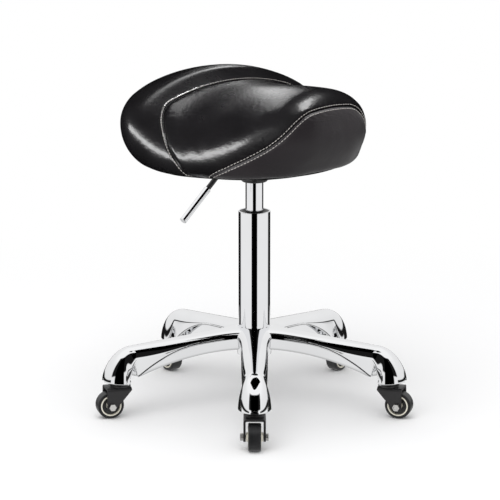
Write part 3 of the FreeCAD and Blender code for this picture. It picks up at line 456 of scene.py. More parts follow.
@dataclass(frozen=True)
class Leather:
    """Finished hide: a pebbled grain of small cells, slow creases and a soft sheen."""

    name: str
    color: tuple[float, float, float]
    roughness: float
    specular: float
    cells: float = 520.0
    cell_depth: float = 0.00012
    creases: float = 38.0
    crease_depth: float = 0.0005
    cloud_scale: float = 14.0
    worn: float = 1.5
    smoother: float = 0.03
    rougher: float = 0.05

    def material(self) -> bpy.types.Material:
        """Build the material."""
        graph = MaterialGraph(self.name)
        inputs = {"Vector": graph.coordinates, "Scale": self.cells, "Randomness": 1.0}
        cells = graph.add("ShaderNodeTexVoronoi", inputs, feature="SMOOTH_F1").outputs["Distance"]
        creases = graph.bump(graph.noise(self.creases), self.crease_depth)
        cloud = graph.noise(self.cloud_scale, detail=4.0)
        light = tuple(self.worn * value for value in self.color)
        graph.finish_with(
            Base_Color=graph.tint(cloud, self.color, light),
            Roughness=graph.spread(cloud, self.roughness - self.smoother, self.roughness + self.rougher),
            Specular_IOR_Level=self.specular,
            Normal=graph.bump(cells, self.cell_depth, creases),
        )
        return graph.material


@dataclass(frozen=True)
class Weave:
    """Plain woven cloth or twisted thread: two sets of fine ribs."""

    name: str
    color: tuple[float, float, float]
    threads: float
    depth: float
    wobble: float = 0.3
    cloud_scale: float = 120.0
    worn: float = 1.25
    roughness: float = 0.8
    sheen: float = 0.2

    def material(self) -> bpy.types.Material:
        """Build the material."""
        graph = MaterialGraph(self.name)
        ribs = {"Vector": graph.coordinates, "Scale": self.threads, "Distortion": self.wobble}
        along = graph.add("ShaderNodeTexWave", ribs, bands_direction="X").outputs["Fac"]
        across = graph.add("ShaderNodeTexWave", ribs, bands_direction="Y").outputs["Fac"]
        cloud = graph.noise(self.cloud_scale)
        light = tuple(min(self.worn * value, 1.0) for value in self.color)
        graph.finish_with(
            Base_Color=graph.tint(cloud, self.color, light),
            Roughness=self.roughness,
            Sheen_Weight=self.sheen,
            Normal=graph.bump(across, self.depth, graph.bump(along, self.depth)),
        )
        return graph.material


Finish = Metal | Coating | Leather | Weave

CAST_CHROME = Metal("cast_chrome", (0.90, 0.905, 0.915), 0.035, 0.015, 0.0006)
TUBE_CHROME = Metal("tube_chrome", (0.91, 0.915, 0.93), 0.03, 0.012)
ZINC = Metal("zinc_plate", (0.72, 0.71, 0.69), 0.28, 0.08)
BLACK_COAT = Coating("black_coat", (0.016, 0.015, 0.016), 0.38, 1500.0, 0.00006)
BLACK_PLASTIC = Coating("black_plastic", (0.014, 0.014, 0.015), 0.33, 900.0, 0.00004)
CREAM_PLASTIC = Coating("cream_plastic", (0.76, 0.73, 0.63), 0.3, 400.0, 0.00003, 1.08)
TYRE_RUBBER = Coating("tyre_rubber", (0.009, 0.009, 0.010), 0.42, 700.0, 0.00008, 1.6)
PLYWOOD = Coating("plywood", (0.5, 0.36, 0.2), 0.6, 200.0, 0.0001)
GLOSSY_LEATHER = Leather(
    "glossy_leather", (0.0048, 0.0045, 0.0050), 0.25, 0.75, cells=420.0, creases=150.0, crease_depth=0.00028
)
MATTE_LEATHER = Leather("matte_leather", (0.0074, 0.0056, 0.0068), 0.47, 0.4)
PIPING_LEATHER = Leather("piping_leather", (0.005, 0.005, 0.005), 0.4, 0.4)
PALE_THREAD = Weave("pale_thread", (0.60, 0.57, 0.54), 900.0, 0.00006)
UNDER_CLOTH = Weave("under_cloth", (0.016, 0.015, 0.016), 420.0, 0.0001)


class Finishes:
    """The materials of the stool, each made once."""

    def __init__(self) -> None:
        """Start with no material made."""
        self.made: dict[str, bpy.types.Material] = {}

    def of(self, finish: Finish) -> bpy.types.Material:
        """Give a finish's material."""
        if finish.name not in self.made:
            self.made[finish.name] = finish.material()
        return self.made[finish.name]

    def dress(self, piece: Piece, finish: Finish) -> Piece:
        """Make a finish the only material of a piece."""
        piece.data.materials.clear()
        piece.data.materials.append(self.of(finish))
        return piece


FINISHES = Finishes()


def place(piece: Piece, body: str, slot: str, finish: Finish, *nodes: str) -> None:
    """Dress a new piece, seat it on a body and let it stand for nodes of the frame.

    Args:
        piece: The new piece.
        body: Body that it rides on.
        slot: Material slot of the record; not used.
        finish: Its finish.
        nodes: Nodes that it stands for.
    """
    FINISHES.dress(piece, finish)
    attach(piece, body)
    if nodes:
        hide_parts(*nodes)
    LOG.info("%s on %s, %d points", piece.name, body, len(piece.data.vertices))


def even_normals(piece: Piece) -> Piece:
    """Let large flat faces lead the shading across rounded edges."""
    piece.modifiers.new("even normals", "WEIGHTED_NORMAL").keep_sharp = False
    return piece


def soften(finish: Finish, edge: float, *nodes: str) -> None:
    """Dress nodes of the frame, and break their sharp edges for the eye.

    Args:
        finish: Their finish.
        edge: Width of the broken edges, or 0 for none.
        nodes: Names of the nodes.
    """
    for node in nodes:
        piece = FINISHES.dress(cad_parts[node], finish)
        mesh = piece.data
        if "custom_normal" in mesh.attributes:
            mesh.attributes.remove(mesh.attributes["custom_normal"])
        mesh.polygons.foreach_set("use_smooth", np.ones(len(mesh.polygons), dtype=bool))
        mesh.polygons.foreach_set("material_index", np.zeros(len(mesh.polygons), dtype=np.int32))
        piece.modifiers.new("weld", "WELD").merge_threshold = WELD_GAP
        if edge:
            bevel = piece.modifiers.new("edges", "BEVEL")
            bevel.width = edge
            bevel.segments = EDGE_SEGMENTS
            bevel.limit_method = "ANGLE"
            bevel.angle_limit = EDGE_ANGLE
        even_normals(piece)
        LOG.info("%s keeps its solid", node)


@dataclass
class StarBase:
    """Cast base: five hollow legs that bend down into flared noses, a web under each, and a hub."""

    hub_top: float = 0.126
    hub_height: float = 0.043
    hub_radius: float = 0.0266
    hub_shoulder: float = 0.031
    hub_bore: float = 0.0252
    hub_flare: float = 0.002
    hub_rounding: float = 0.002
    stem_circle: float = 0.2205
    hood_bottom: float = 0.0573
    hood_rim_rise: float = 0.08
    crest_root: float = 0.002
    crest_fall: float = 0.0964
    nose_start: float = 0.205
    nose_length: float = 0.0405
    nose_reach: float = 0.985
    nose_fall_power: float = 1.75
    nose_plan_power: float = 2.35
    width: float = 0.033
    waist: float = 0.0296
    waist_start: float = 0.150
    root_flare: float = 0.020
    root_fade: float = 0.020
    bell: float = 0.0080
    bell_start: float = 0.198
    bell_end: float = 0.221
    edge_depth: float = 0.008
    deepening: float = 0.036
    deepen_start: float = 0.1255
    deepen_length: float = 0.100
    arch: float = 0.0055
    arch_growth: float = 0.0085
    arch_start: float = 0.085
    arch_end: float = 0.190
    roof_power: float = 3.1
    side_power: float = 1.55
    knee_fall_end: float = 0.216
    tuck: float = 0.0003
    tuck_growth: float = 0.0012
    bead: float = 0.0008
    bead_height: float = 0.0026
    bead_share: float = 0.8
    bead_steps: int = 8
    flank_steps: int = 10
    roof_steps: int = 31
    roof_crowding: float = 1.5
    wall: float = 0.0034
    notch_place: float = 0.205
    notch_half: float = 0.0072
    notch_rise: float = 0.026
    heel_round: float = 0.006
    root_end: float = 0.09
    run_start: float = 0.092
    heel_gap: float = 0.001
    nose_gap: float = 0.0004
    root_steps: int = 16
    run_steps: int = 32
    heel_steps: int = 8
    notch_steps: int = 25
    nose_steps: int = 34
    web_width: float = 0.013
    web_root_depth: float = 0.034
    web_middle_depth: float = 0.032
    web_end_depth: float = 0.048
    web_setback: float = 0.031
    web_inset: float = 0.004
    web_top_depth: float = 0.0045
    web_heel_rise: float = 0.009
    web_taper: float = 0.66
    web_rounding: float = 0.16
    web_steps: int = 48
    web_corner_steps: int = 5
    boss_radius: float = 0.010
    boss_height: float = 0.0385
    boss_bore: float = 0.0052
    boss_rounding: float = 0.0008
    boss_sides: int = 40

    def crest(self, r: Array) -> Array:
        """Height of the ridge as if it ran straight on past the nose."""
        return self.hub_top + self.crest_root - self.crest_fall * r

    def growth(self, r: Array) -> Array:
        """Share of the leg's deepening reached at a radius, a squared rise."""
        late = np.maximum(0.0, r - (self.stem_circle - self.deepen_start)) / self.deepen_length
        return late ** 2

    def half_width(self, r: Array) -> Array:
        """Half width at the knee: a flare at the hub, a waist before the nose and a bell in the nose."""
        root = self.root_flare * np.exp((self.hub_radius - r) / self.root_fade)
        slimming = (self.width - self.waist) * smooth_step(self.waist_start, self.nose_start, r)
        return (self.width + root - slimming) / 2 + self.bell * smooth_step(self.bell_start, self.bell_end, r)

    def rim(self, r: Array) -> Array:
        """Height of the hood's rim, which rises from the stem to the tip."""
        return self.hood_bottom + self.hood_rim_rise * np.maximum(r - self.stem_circle, 0.0)

    def lip(self, r: Array) -> Array:
        """Height of the lower edge: a deepening wall, a round-topped notch, and a rim that rises to the tip.

        The wall's corner beside the notch is a quarter circle.
        """
        deep = np.maximum(self.crest(r) - self.edge_depth - self.deepening * self.growth(r), self.hood_bottom)
        turn = np.clip((r - self.notch_place + self.notch_half) / self.heel_round + 1.0, 0.0, 1.0)
        corner = self.heel_round * (1.0 - np.sqrt(1.0 - turn ** 2))
        deep = deep + np.where(r < self.notch_place, corner, 0.0)
        share = np.clip((r - self.notch_place) / self.notch_half, -1.0, 1.0)
        notch = self.hood_bottom + self.notch_rise * np.sqrt(1.0 - share ** 2)
        return np.maximum(np.maximum(deep, notch), self.rim(r))

    def section(self, r: Array) -> Array:
        """Section across a leg: an arched roof down to a knee, and a flank with a fine bead at its lip.

        The arch is (side / half)^p + (rise / depth)^q = 1. In the nose its height shrinks by (1 - s^a)^(1/a)
        and its side by (1 - s^b)^(1/b), where s is the share of the nose's length, and the knee falls
        to the rim.

        Args:
            r: Radii of the sections.

        Returns:
            Points of shape (radii, around, 2) as (side, height).
        """
        r = r[:, None]
        share = np.clip((r - self.nose_start) / self.nose_length, 0.0, 1.0)
        fall = (1.0 - share ** self.nose_fall_power) ** (1.0 / self.nose_fall_power)
        plan = (1.0 - share ** self.nose_plan_power) ** (1.0 / self.nose_plan_power)
        growth = np.minimum(self.growth(r), 1.0)
        top = self.hood_bottom + (self.crest(r) - self.hood_bottom) * fall
        bend = smooth_step(self.bell_start, self.knee_fall_end, r)
        depth = self.arch + self.arch_growth * smooth_step(self.arch_start, self.arch_end, r)
        knee = np.minimum((self.crest(r) - depth) * (1.0 - bend) + self.rim(r) * bend, top)
        lip = np.minimum(self.lip(r), knee)
        half = self.half_width(r) * plan
        low = np.minimum(self.bead_height, self.bead_share * (knee - lip))
        near_lip = lip + low * np.linspace(0.0, 1.0, self.bead_steps)[None, :-1]
        upper = lip + low + (knee - lip - low) * np.linspace(0.0, 1.0, self.flank_steps)[None, :-1]
        height = np.concatenate([near_lip, upper], axis=1)
        down = (knee - height) / np.maximum(knee - lip, TINY)
        bead = self.bead * (1.0 - bend) * (1.0 - smooth_step(0.0, 1.0, (height - lip) / self.bead_height))
        flank = np.stack([half - (self.tuck + self.tuck_growth * growth) * down + bead, height], axis=-1)
        crowded = np.linspace(1.0, 0.0, self.roof_steps)[None] ** self.roof_crowding
        angle = math.pi / 2 * (1.0 - crowded)
        across = np.maximum(np.cos(angle), 0.0) ** (2.0 / self.roof_power)
        rise = np.sin(angle) ** (2.0 / self.side_power)
        roof = np.stack([half * across, knee + (top - knee) * rise], axis=-1)
        right = np.concatenate([flank, roof], axis=1)
        left = right[:, -2::-1] * np.array([-1.0, 1.0])
        return np.concatenate([right, left], axis=1)

    def leg_skin(self) -> tuple[Array, Array]:
        """Skin of one leg on +X: sections lofted from inside the hub to the tip of the nose.

        Returns:
            Points and quads, open below.
        """
        arc = self.notch_place - self.notch_half * np.cos(np.linspace(0.0, math.pi, self.notch_steps))
        ahead = np.sin(np.linspace(0.0, math.pi / 2, self.nose_steps))
        nose = self.nose_start + self.nose_length * self.nose_reach * ahead
        heel = arc[0] - self.heel_round * np.cos(np.linspace(0.0, math.pi / 2, self.heel_steps))
        runs = [
            np.linspace(self.hub_radius / 2, self.root_end, self.root_steps),
            np.linspace(self.run_start, heel[0] - self.heel_gap, self.run_steps),
            heel[:-1],
            arc,
            nose[nose > arc[-1] + self.nose_gap],
        ]
        radii = np.concatenate(runs)
        sections = self.section(radii)
        along = np.broadcast_to(radii[:, None], sections.shape[:2])
        points = np.concatenate([along[..., None], sections], axis=-1)
        return points.reshape(-1, 3), grid_quads(*sections.shape[:2])

    def web(self) -> tuple[Array, Array]:
        """Web under one leg on +X: a rounded bar whose lower edge is a parabola from hub to boss."""
        heel = self.stem_circle - self.web_setback
        r = np.linspace(self.hub_radius, self.stem_circle, self.web_steps) - self.web_inset
        share = np.clip((r - self.hub_radius) / (heel - self.hub_radius), 0.0, 1.0)
        middle = (self.hub_radius + heel) / 2
        root = self.hub_top - self.web_root_depth
        bow = self.crest(np.array(middle)) - self.web_middle_depth
        end = self.crest(np.array(heel)) - self.web_end_depth
        lower = root * (1 - share) * (1 - 2 * share) + 4 * bow * share * (1 - share)
        lower = lower + end * share * (2 * share - 1)
        lower = lower + self.web_heel_rise * np.clip((r - heel) / (self.stem_circle - heel), 0.0, 1.0)
        upper = self.crest(r) - self.web_top_depth
        foot = self.web_taper / 2
        bar = [(-foot, 0.0), (foot, 0.0), (0.5, 1.0), (-0.5, 1.0)]
        corner = rounded(bar, self.web_rounding, self.web_corner_steps)
        side = np.broadcast_to(corner[None, :, 0] * self.web_width, (len(r), len(corner)))
        height = lower[:, None] + (upper - lower)[:, None] * corner[None, :, 1]
        along = np.broadcast_to(r[:, None], side.shape)
        points = np.stack([along, side, height], axis=-1)
        return points.reshape(-1, 3), grid_quads(len(r), len(corner), False, True)

    def hub(self) -> tuple[Array, Array]:
        """Hub: a turned collar, flared below the legs' roofs."""
        low = self.hub_top - self.hub_height
        outline = [
            (self.hub_bore, low),
            (self.hub_radius, low),
            (self.hub_shoulder, self.hub_top - self.edge_depth),
            (self.hub_radius + self.hub_flare, self.hub_top),
            (self.hub_bore, self.hub_top),
        ]
        return turned(rounded(outline, self.hub_rounding))

    def boss(self) -> tuple[Array, Array]:
        """Boss for a castor stem inside the nose, on +X."""
        top = self.hood_bottom + self.boss_height
        outline = ring(self.boss_bore, self.boss_radius, self.hood_bottom, top)
        points, quads = turned(rounded(outline, self.boss_rounding), self.boss_sides)
        return points + np.array([self.stem_circle, 0.0, 0.0]), quads

    def build(self) -> None:
        """Make the skins of the legs, and the webs, bosses and hub."""
        points, quads = self.leg_skin()
        skins = stacked([(swung(points, azimuth), quads) for azimuth in LEG_AZIMUTHS])
        legs = close_up(new_piece("base_legs", *skins), outwards=False)
        thicken(legs, "wall", self.wall)
        even_normals(legs)
        place(legs, "base", "cast_alloy", CAST_CHROME, "star_base")
        under_leg = (self.web(), self.boss())
        webs = [(swung(spots, azimuth), faces) for azimuth in LEG_AZIMUTHS for spots, faces in under_leg]
        inner = close_up(new_piece("base_webs_and_hub", *stacked(webs + [self.hub()])))
        even_normals(inner)
        place(inner, "base", "cast_alloy", CAST_CHROME)


@dataclass
class Column:
    """Gas lift as it shows: the wide tube, the slim tube and the ring between them."""

    radius: float = 0.025
    wall: float = 0.002
    foot: float = 0.110
    top: float = 0.3155
    slim_radius: float = 0.014
    slim_top: float = 0.372
    slim_bore: float = 0.0115
    mouth_rounding: float = 0.0012
    mouth_steps: int = 8
    tube_sides: int = 160
    slim_sides: int = 128
    slim_rounding: float = 0.0008
    bush_edge: float = 0.0005
    socket_edge: float = 0.0008

    def build(self) -> None:
        """Make both chromed tubes, and dress the pieces inside them."""
        wide = ring(self.radius - self.wall, self.radius, self.foot, self.top)
        wide = rounded(wide, self.mouth_rounding, self.mouth_steps)
        tube = close_up(new_piece("column_tube", *turned(wide, self.tube_sides)))
        place(even_normals(tube), "base", "chromed_steel", TUBE_CHROME, "stand_tube")
        low = float(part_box("pressure_tube")[0].z)
        slim = rounded(ring(self.slim_bore, self.slim_radius, low, self.slim_top), self.slim_rounding)
        inner = close_up(new_piece("lift_tube", *turned(slim, self.slim_sides)))
        place(even_normals(inner), "seat", "chromed_steel", TUBE_CHROME, "pressure_tube")
        soften(BLACK_PLASTIC, self.bush_edge, "guide_bush")
        soften(BLACK_COAT, self.socket_edge, "seat_socket")
        soften(ZINC, NO_EDGE, "foot_plate", "thrust_washer_lower", "thrust_balls", "thrust_washer_upper")
        soften(ZINC, NO_EDGE, "piston_rod", "rod_clip", "release_pin")
        soften(BLACK_PLASTIC, NO_EDGE, "piston", "rod_guide")
        soften(TYRE_RUBBER, self.bush_edge, "bumper")


@dataclass
class Castor:
    """One castor: a bent fork, an axle bolt and a tyred wheel with two dished discs."""

    number: int
    azimuth: float
    axle_circle: float = 0.238
    wheel_radius: float = 0.021
    tyre_width: float = 0.0195
    rim_radius: float = 0.016
    rim_lip: float = 0.0016
    web_width: float = 0.008
    hub_radius: float = 0.007
    hub_half: float = 0.0131
    axle_radius: float = 0.00305
    disc: float = 0.0025
    tyre_rounding: float = 0.0042
    rim_rounding: float = 0.0004
    rim_overlap: float = 0.0004
    disc_rounding: float = 0.0005
    wheel_sides: int = 72
    fork_edge: float = 0.0006
    bolt_edge: float = 0.0005

    def on_axle(self, outline: list[tuple[float, float]], radius: float) -> tuple[Array, Array]:
        """Turn an outline of (radius, along the axle) points and carry it to this castor's axle."""
        points, quads = turned(rounded(outline, radius), self.wheel_sides)
        laid = points[:, [0, 2, 1]] * np.array([1.0, 1.0, -1.0])
        moved = laid + np.array([self.axle_circle, 0.0, self.wheel_radius])
        return swung(moved, self.azimuth), quads

    def build(self) -> None:
        """Make the wheel's pieces, and dress the fork and the bolt."""
        half, web = self.tyre_width / 2, self.web_width / 2
        inner = self.rim_radius - self.rim_lip
        body = f"wheel_{self.number}"
        tyre = ring(self.rim_radius, self.wheel_radius, -half, half)
        piece = close_up(new_piece(f"tyre_{self.number}", *self.on_axle(tyre, self.tyre_rounding)))
        place(piece, body, "tyre_black", TYRE_RUBBER, f"castor_tyre_{self.number}")
        side = [
            (self.axle_radius, self.hub_half),
            (self.axle_radius, -self.hub_half),
            (self.hub_radius, -self.hub_half),
            (self.hub_radius, -web),
            (inner, -web),
            (inner, -half - self.rim_overlap),
            (self.rim_radius + self.rim_overlap, -half - self.rim_overlap),
        ]
        rim = side + [(r, -y) for r, y in reversed(side[2:])]
        piece = close_up(new_piece(f"rim_{self.number}", *self.on_axle(rim, self.rim_rounding)))
        place(even_normals(piece), body, "cream_plastic", CREAM_PLASTIC, f"castor_rim_{self.number}")
        low, high = web + self.disc / 2, web + self.disc
        dish = [(self.hub_radius, web), (inner, web), (inner, high), (self.hub_radius, low)]
        both = [[(r, end * y) for r, y in dish] for end in (1, -1)]
        discs = [self.on_axle(outline, self.disc_rounding) for outline in both]
        piece = close_up(new_piece(f"wheel_discs_{self.number}", *stacked(discs)))
        place(even_normals(piece), body, "black_plastic", BLACK_PLASTIC, f"castor_hub_caps_{self.number}")
        soften(BLACK_COAT, self.fork_edge, f"castor_fork_{self.number}")
        soften(ZINC, self.bolt_edge, f"castor_axle_bolt_{self.number}")


class Seam(Enum):
    """The two seams across the saddle."""

    CANTLE = "cantle"
    POMMEL = "pommel"


class Panel(Enum):
    """The three leather panels of the saddle's cover."""

    REAR = "rear"
    MIDDLE = "middle"
    FRONT = "front"


@dataclass
class SaddleForm:
    """Shape of the saddle: sections across its length, each of three-centred arches above and below."""

    bottom: float = 0.3735
    azimuth: float = -45.0
    rear: float = 0.1918
    front: float = 0.1715
    width: float = 0.2005
    widest: float = -0.066
    front_taper: float = 0.37
    taper_power: float = 1.5
    rear_roundness: float = 1.7
    front_roundness: float = 3.2
    cantle_place: float = -0.083
    cantle_height: float = 0.1596
    valley_place: float = -0.045
    valley_height: float = 0.1385
    pommel_place: float = 0.128
    pommel_height: float = 0.1474
    side_girth: float = 0.043
    rear_girth: float = 0.0907
    front_girth: float = 0.0876
    side_rear: float = 0.005
    rear_side: float = -0.105
    side_front: float = 0.045
    front_side: float = 0.1555
    side_top_edge: float = 0.040
    rear_top_edge: float = 0.0377
    front_top_edge: float = 0.0406
    side_low_edge: float = 0.019
    rear_low_edge: float = 0.070
    front_low_edge: float = 0.073
    underside_rise: float = 0.033
    underside_roll: float = 0.674
    underside_roundness: float = 2.7
    edge_share: float = 0.92
    under_seam: float = 0.0205
    cantle_seam: float = -0.0525
    cantle_lean: float = 1.05
    cantle_lean_top: float = 0.122
    cantle_lean_ease: float = 0.006
    cantle_lean_reach: float = 0.086
    cantle_lean_power: float = 8.0
    pommel_seam: float = 0.174
    pommel_foot: float = 0.062
    pommel_slope: float = 25.5
    pommel_ease: float = 0.0734
    cantle_search: tuple[float, float] = (-0.15, 0.1)
    nose_gap: float = 0.001
    probe: float = 1e-4
    under_rays: int = 180

    @staticmethod
    def quarter(share: Array, power: float) -> Array:
        """Quarter of a superellipse, (1 - s^p)^(1/p)."""
        return (1.0 - np.clip(share, 0.0, 1.0) ** power) ** (1.0 / power)

    def half(self, u: Array) -> Array:
        """Half width at a place along the saddle: superellipse ends and a tapered front."""
        behind = (self.widest - u) / (self.widest + self.rear)
        ahead = (u - self.widest) / (self.front - self.widest)
        taper = 1.0 - self.front_taper * np.maximum(ahead, 0.0) ** self.taper_power
        ends = self.quarter(behind, self.rear_roundness) * self.quarter(ahead, self.front_roundness)
        return np.maximum(self.width * taper * ends, TINY)

    def blend(self, u: Array, side: float, rear: float, front: float) -> Array:
        """Value along the saddle: one for the middle of its sides, eased into one for each end.

        Args:
            u: Places along the saddle.
            side: Value at the middle of the sides.
            rear: Value at the rear.
            front: Value at the front.

        Returns:
            The value at each place.
        """
        back = (rear - side) * smooth_step(self.side_rear, self.rear_side, u)
        return side + back + (front - side) * smooth_step(self.side_front, self.front_side, u)

    def top_edge(self, u: Array) -> Array:
        """Radius of the upper edge along the saddle."""
        return self.blend(u, self.side_top_edge, self.rear_top_edge, self.front_top_edge)

    def low_edge(self, u: Array) -> Array:
        """Radius of the lower edge along the saddle."""
        return self.blend(u, self.side_low_edge, self.rear_low_edge, self.front_low_edge)

    def levels(self, u: Array) -> tuple[Array, Array, Array]:
        """Heights of the top line, the girth and the bottom line along the saddle.

        Args:
            u: Places along the saddle.

        Returns:
            The three heights.
        """
        girth = self.blend(u, self.side_girth, self.rear_girth, self.front_girth)
        back = smooth_step(self.cantle_place, self.valley_place, u)
        ahead = smooth_step(self.valley_place, self.pommel_place, u)
        crest = self.cantle_height + (self.valley_height - self.cantle_height) * back
        crest = crest + (self.pommel_height - self.valley_height) * ahead
        ends = self.quarter((self.cantle_place - u) / (self.cantle_place + self.rear), 2.0)
        ends = ends * self.quarter((u - self.pommel_place) / (self.front - self.pommel_place), 2.0)
        top = girth + (crest - girth) * ends
        place_share = np.where(u < 0.0, -u / self.rear, u / self.front)
        roll = np.clip((place_share - self.underside_roll) / (1.0 - self.underside_roll), 0.0, 1.0)
        low = self.underside_rise * place_share ** 2
        under = girth - (girth - low) * np.sqrt(1.0 - roll ** self.underside_roundness)
        return self.bottom + top, self.bottom + girth, self.bottom + under

    def arch(self, half: Array, height: Array, edge: Array) -> tuple[Array, Array, Array, Array]:
        """Three-centred arch: its height, its edge and crown radii, and the lean where they meet.

        Args:
            half: Half of the arch's width.
            height: Rise of the arch.
            edge: Wanted radius of its edges.

        Returns:
            Height, edge radius, crown radius and lean angle.
        """
        height = np.maximum(height, TINY)
        edge = np.minimum(edge, self.edge_share * np.minimum(half, height))
        crown = (half ** 2 + height ** 2 - 2 * half * edge) / (2 * (height - edge))
        lean = np.arctan2(half - edge, crown - height)
        return height, edge, crown, lean

    def on_arch(self, share: Array, half: Array, height: Array, edge: Array) -> tuple[Array, Array]:
        """Point on one side of an arch, by the share of its arc length from the apex to the springing.

        Args:
            share: Share of the arc, 0 at the apex.
            half: Half of the arch's width.
            height: Rise of the arch.
            edge: Wanted radius of its edges.

        Returns:
            Distance from the middle, and rise.
        """
        height, edge, crown, lean = self.arch(half, height, edge)
        total = edge * (math.pi / 2 - lean) + crown * lean
        run = share * total
        omega = np.minimum(run / crown, lean)
        phi = np.clip((total - run) / edge, 0.0, math.pi / 2)
        on_crown = run < crown * lean
        side = np.where(on_crown, crown * np.sin(omega), half - edge + edge * np.cos(phi))
        rise = np.where(on_crown, height - crown + crown * np.cos(omega), edge * np.sin(phi))
        return side, rise

    def under_share(self, u: Array) -> Array:
        """Share of the way from the top line round to the bottom line where the under seam runs.

        Args:
            u: Places along the saddle.

        Returns:
            0.5 at the girth, and 1 where the section lies wholly above the under seam.
        """
        _, girth, under = self.levels(u)
        drop = girth - (self.bottom + self.under_seam)
        height, edge, crown, lean = self.arch(self.half(u), girth - under, self.low_edge(u))
        total = edge * (math.pi / 2 - lean) + crown * lean
        on_edge = edge * np.arcsin(np.clip(drop / edge, 0.0, 1.0))
        omega = np.arccos(np.clip((drop - height + crown) / crown, -1.0, 1.0))
        on_crown = total - crown * omega
        run = np.where(drop < edge * np.cos(lean), on_edge, on_crown)
        run = np.where(drop >= height, total, run)
        return 0.5 + 0.5 * np.clip(run / total, 0.0, 1.0)

    def surface(self, u: Array, t: Array) -> Array:
        """Point of the cover: u along the saddle, t from -1 to 1 across it between the under seams.

        Args:
            u: Places along the saddle.
            t: Shares across it, of the same shape.

        Returns:
            Points (u, v, z) on the saddle's own axes.
        """
        w = np.abs(t) * self.under_share(u)
        top, girth, under = self.levels(u)
        half = self.half(u)
        side_up, rise = self.on_arch(np.minimum(w / 0.5, 1.0), half, top - girth, self.top_edge(u))
        side_low, fall = self.on_arch(np.clip(2.0 - 2.0 * w, 0.0, 1.0), half, girth - under, self.low_edge(u))
        upper = w < 0.5
        side = np.where(upper, side_up, side_low) * np.sign(t)
        height = np.where(upper, girth + rise, girth - fall)
        return np.stack([u, side, height], axis=-1)

    def seam_line(self, seam: Seam, z: Array) -> Array:
        """Place along the saddle where a seam lies at a height.

        The cantle seam runs straight across and leans forwards below a height, by a squared start that
        turns into a slope and levels off at a reach. The pommel seam is a line across the nose that
        bends, by a smooth minimum, into a slope down to the under seam.

        Args:
            seam: Which seam.
            z: Heights.

        Returns:
            The seam's u.
        """
        height = z - self.bottom
        if seam is Seam.CANTLE:
            below = np.maximum(self.cantle_lean_top - height, 0.0)
            lean = self.cantle_lean * below ** 2 / (below + self.cantle_lean_ease) / self.cantle_lean_reach
            power = self.cantle_lean_power
            return self.cantle_seam + self.cantle_lean_reach * lean / (1.0 + lean ** power) ** (1.0 / power)
        slope = self.pommel_foot + (height - self.under_seam) / math.tan(math.radians(self.pommel_slope))
        return (self.pommel_seam + slope - np.hypot(self.pommel_seam - slope, self.pommel_ease)) / 2

    def seam_place(self, seam: Seam, t: Array) -> Array:
        """Where lines of constant t cross a seam, by halving the interval.

        Args:
            seam: Which seam.
            t: Shares across the saddle.

        Returns:
            The crossing's u for each share.
        """
        low, high = self.cantle_search if seam is Seam.CANTLE else (0.0, self.front - self.nose_gap)

        def behind(u: Array) -> Array:
            """Whether places lie behind the seam."""
            return u < self.seam_line(seam, self.surface(u, t)[..., 2])

        return halved(np.full_like(t, low), np.full_like(t, high), behind)

    def seam_curve(self, seam: Seam, count: int) -> tuple[Array, Array]:
        """Points of a seam from one under seam to the other, and the cover's normals there.

        Args:
            seam: Which seam.
            count: Number of points.

        Returns:
            Points and normals.
        """
        t = np.linspace(-1.0, 1.0, count)
        u = self.seam_place(seam, t)
        along = self.surface(u + self.probe, t) - self.surface(u - self.probe, t)
        left, right = np.minimum(t + self.probe, 1.0), np.maximum(t - self.probe, -1.0)
        across = self.surface(u, left) - self.surface(u, right)
        return self.surface(u, t), unit(np.cross(along, across))

    def under_ring(self) -> Array:
        """Points of the under seam, the level line on the underside, found on rays from the middle.

        Returns:
            The ring's points on the saddle's own axes.
        """
        angle = np.linspace(0.0, 2 * math.pi, self.under_rays, endpoint=False)
        cos, sin = np.cos(angle), np.sin(angle)
        level = self.bottom + self.under_seam

        def below(reach: Array) -> Array:
            """Whether places on the rays lie below the seam."""
            return self.underside(reach * cos, reach * sin) < level

        reach = halved(np.zeros_like(angle), np.full_like(angle, self.rear), below)
        return np.stack([reach * cos, reach * sin, np.full_like(reach, level)], axis=-1)

    def underside(self, u: Array, v: Array) -> Array:
        """Height of the underside over a point of the plan, from the lower arch's two arcs."""
        _, girth, under = self.levels(u)
        half = self.half(u)
        height, edge, crown, lean = self.arch(half, girth - under, self.low_edge(u))
        side = np.minimum(np.abs(v), half)
        on_crown = height - crown + np.sqrt(np.maximum(crown ** 2 - side ** 2, 0.0))
        on_edge = np.sqrt(np.maximum(edge ** 2 - (side - half + edge) ** 2, 0.0))
        return girth - np.where(side < crown * np.sin(lean), on_crown, on_edge)

    def to_frame(self, points: Array) -> Array:
        """Turn points from the saddle's own axes to the frame's."""
        return swung(points, self.azimuth)


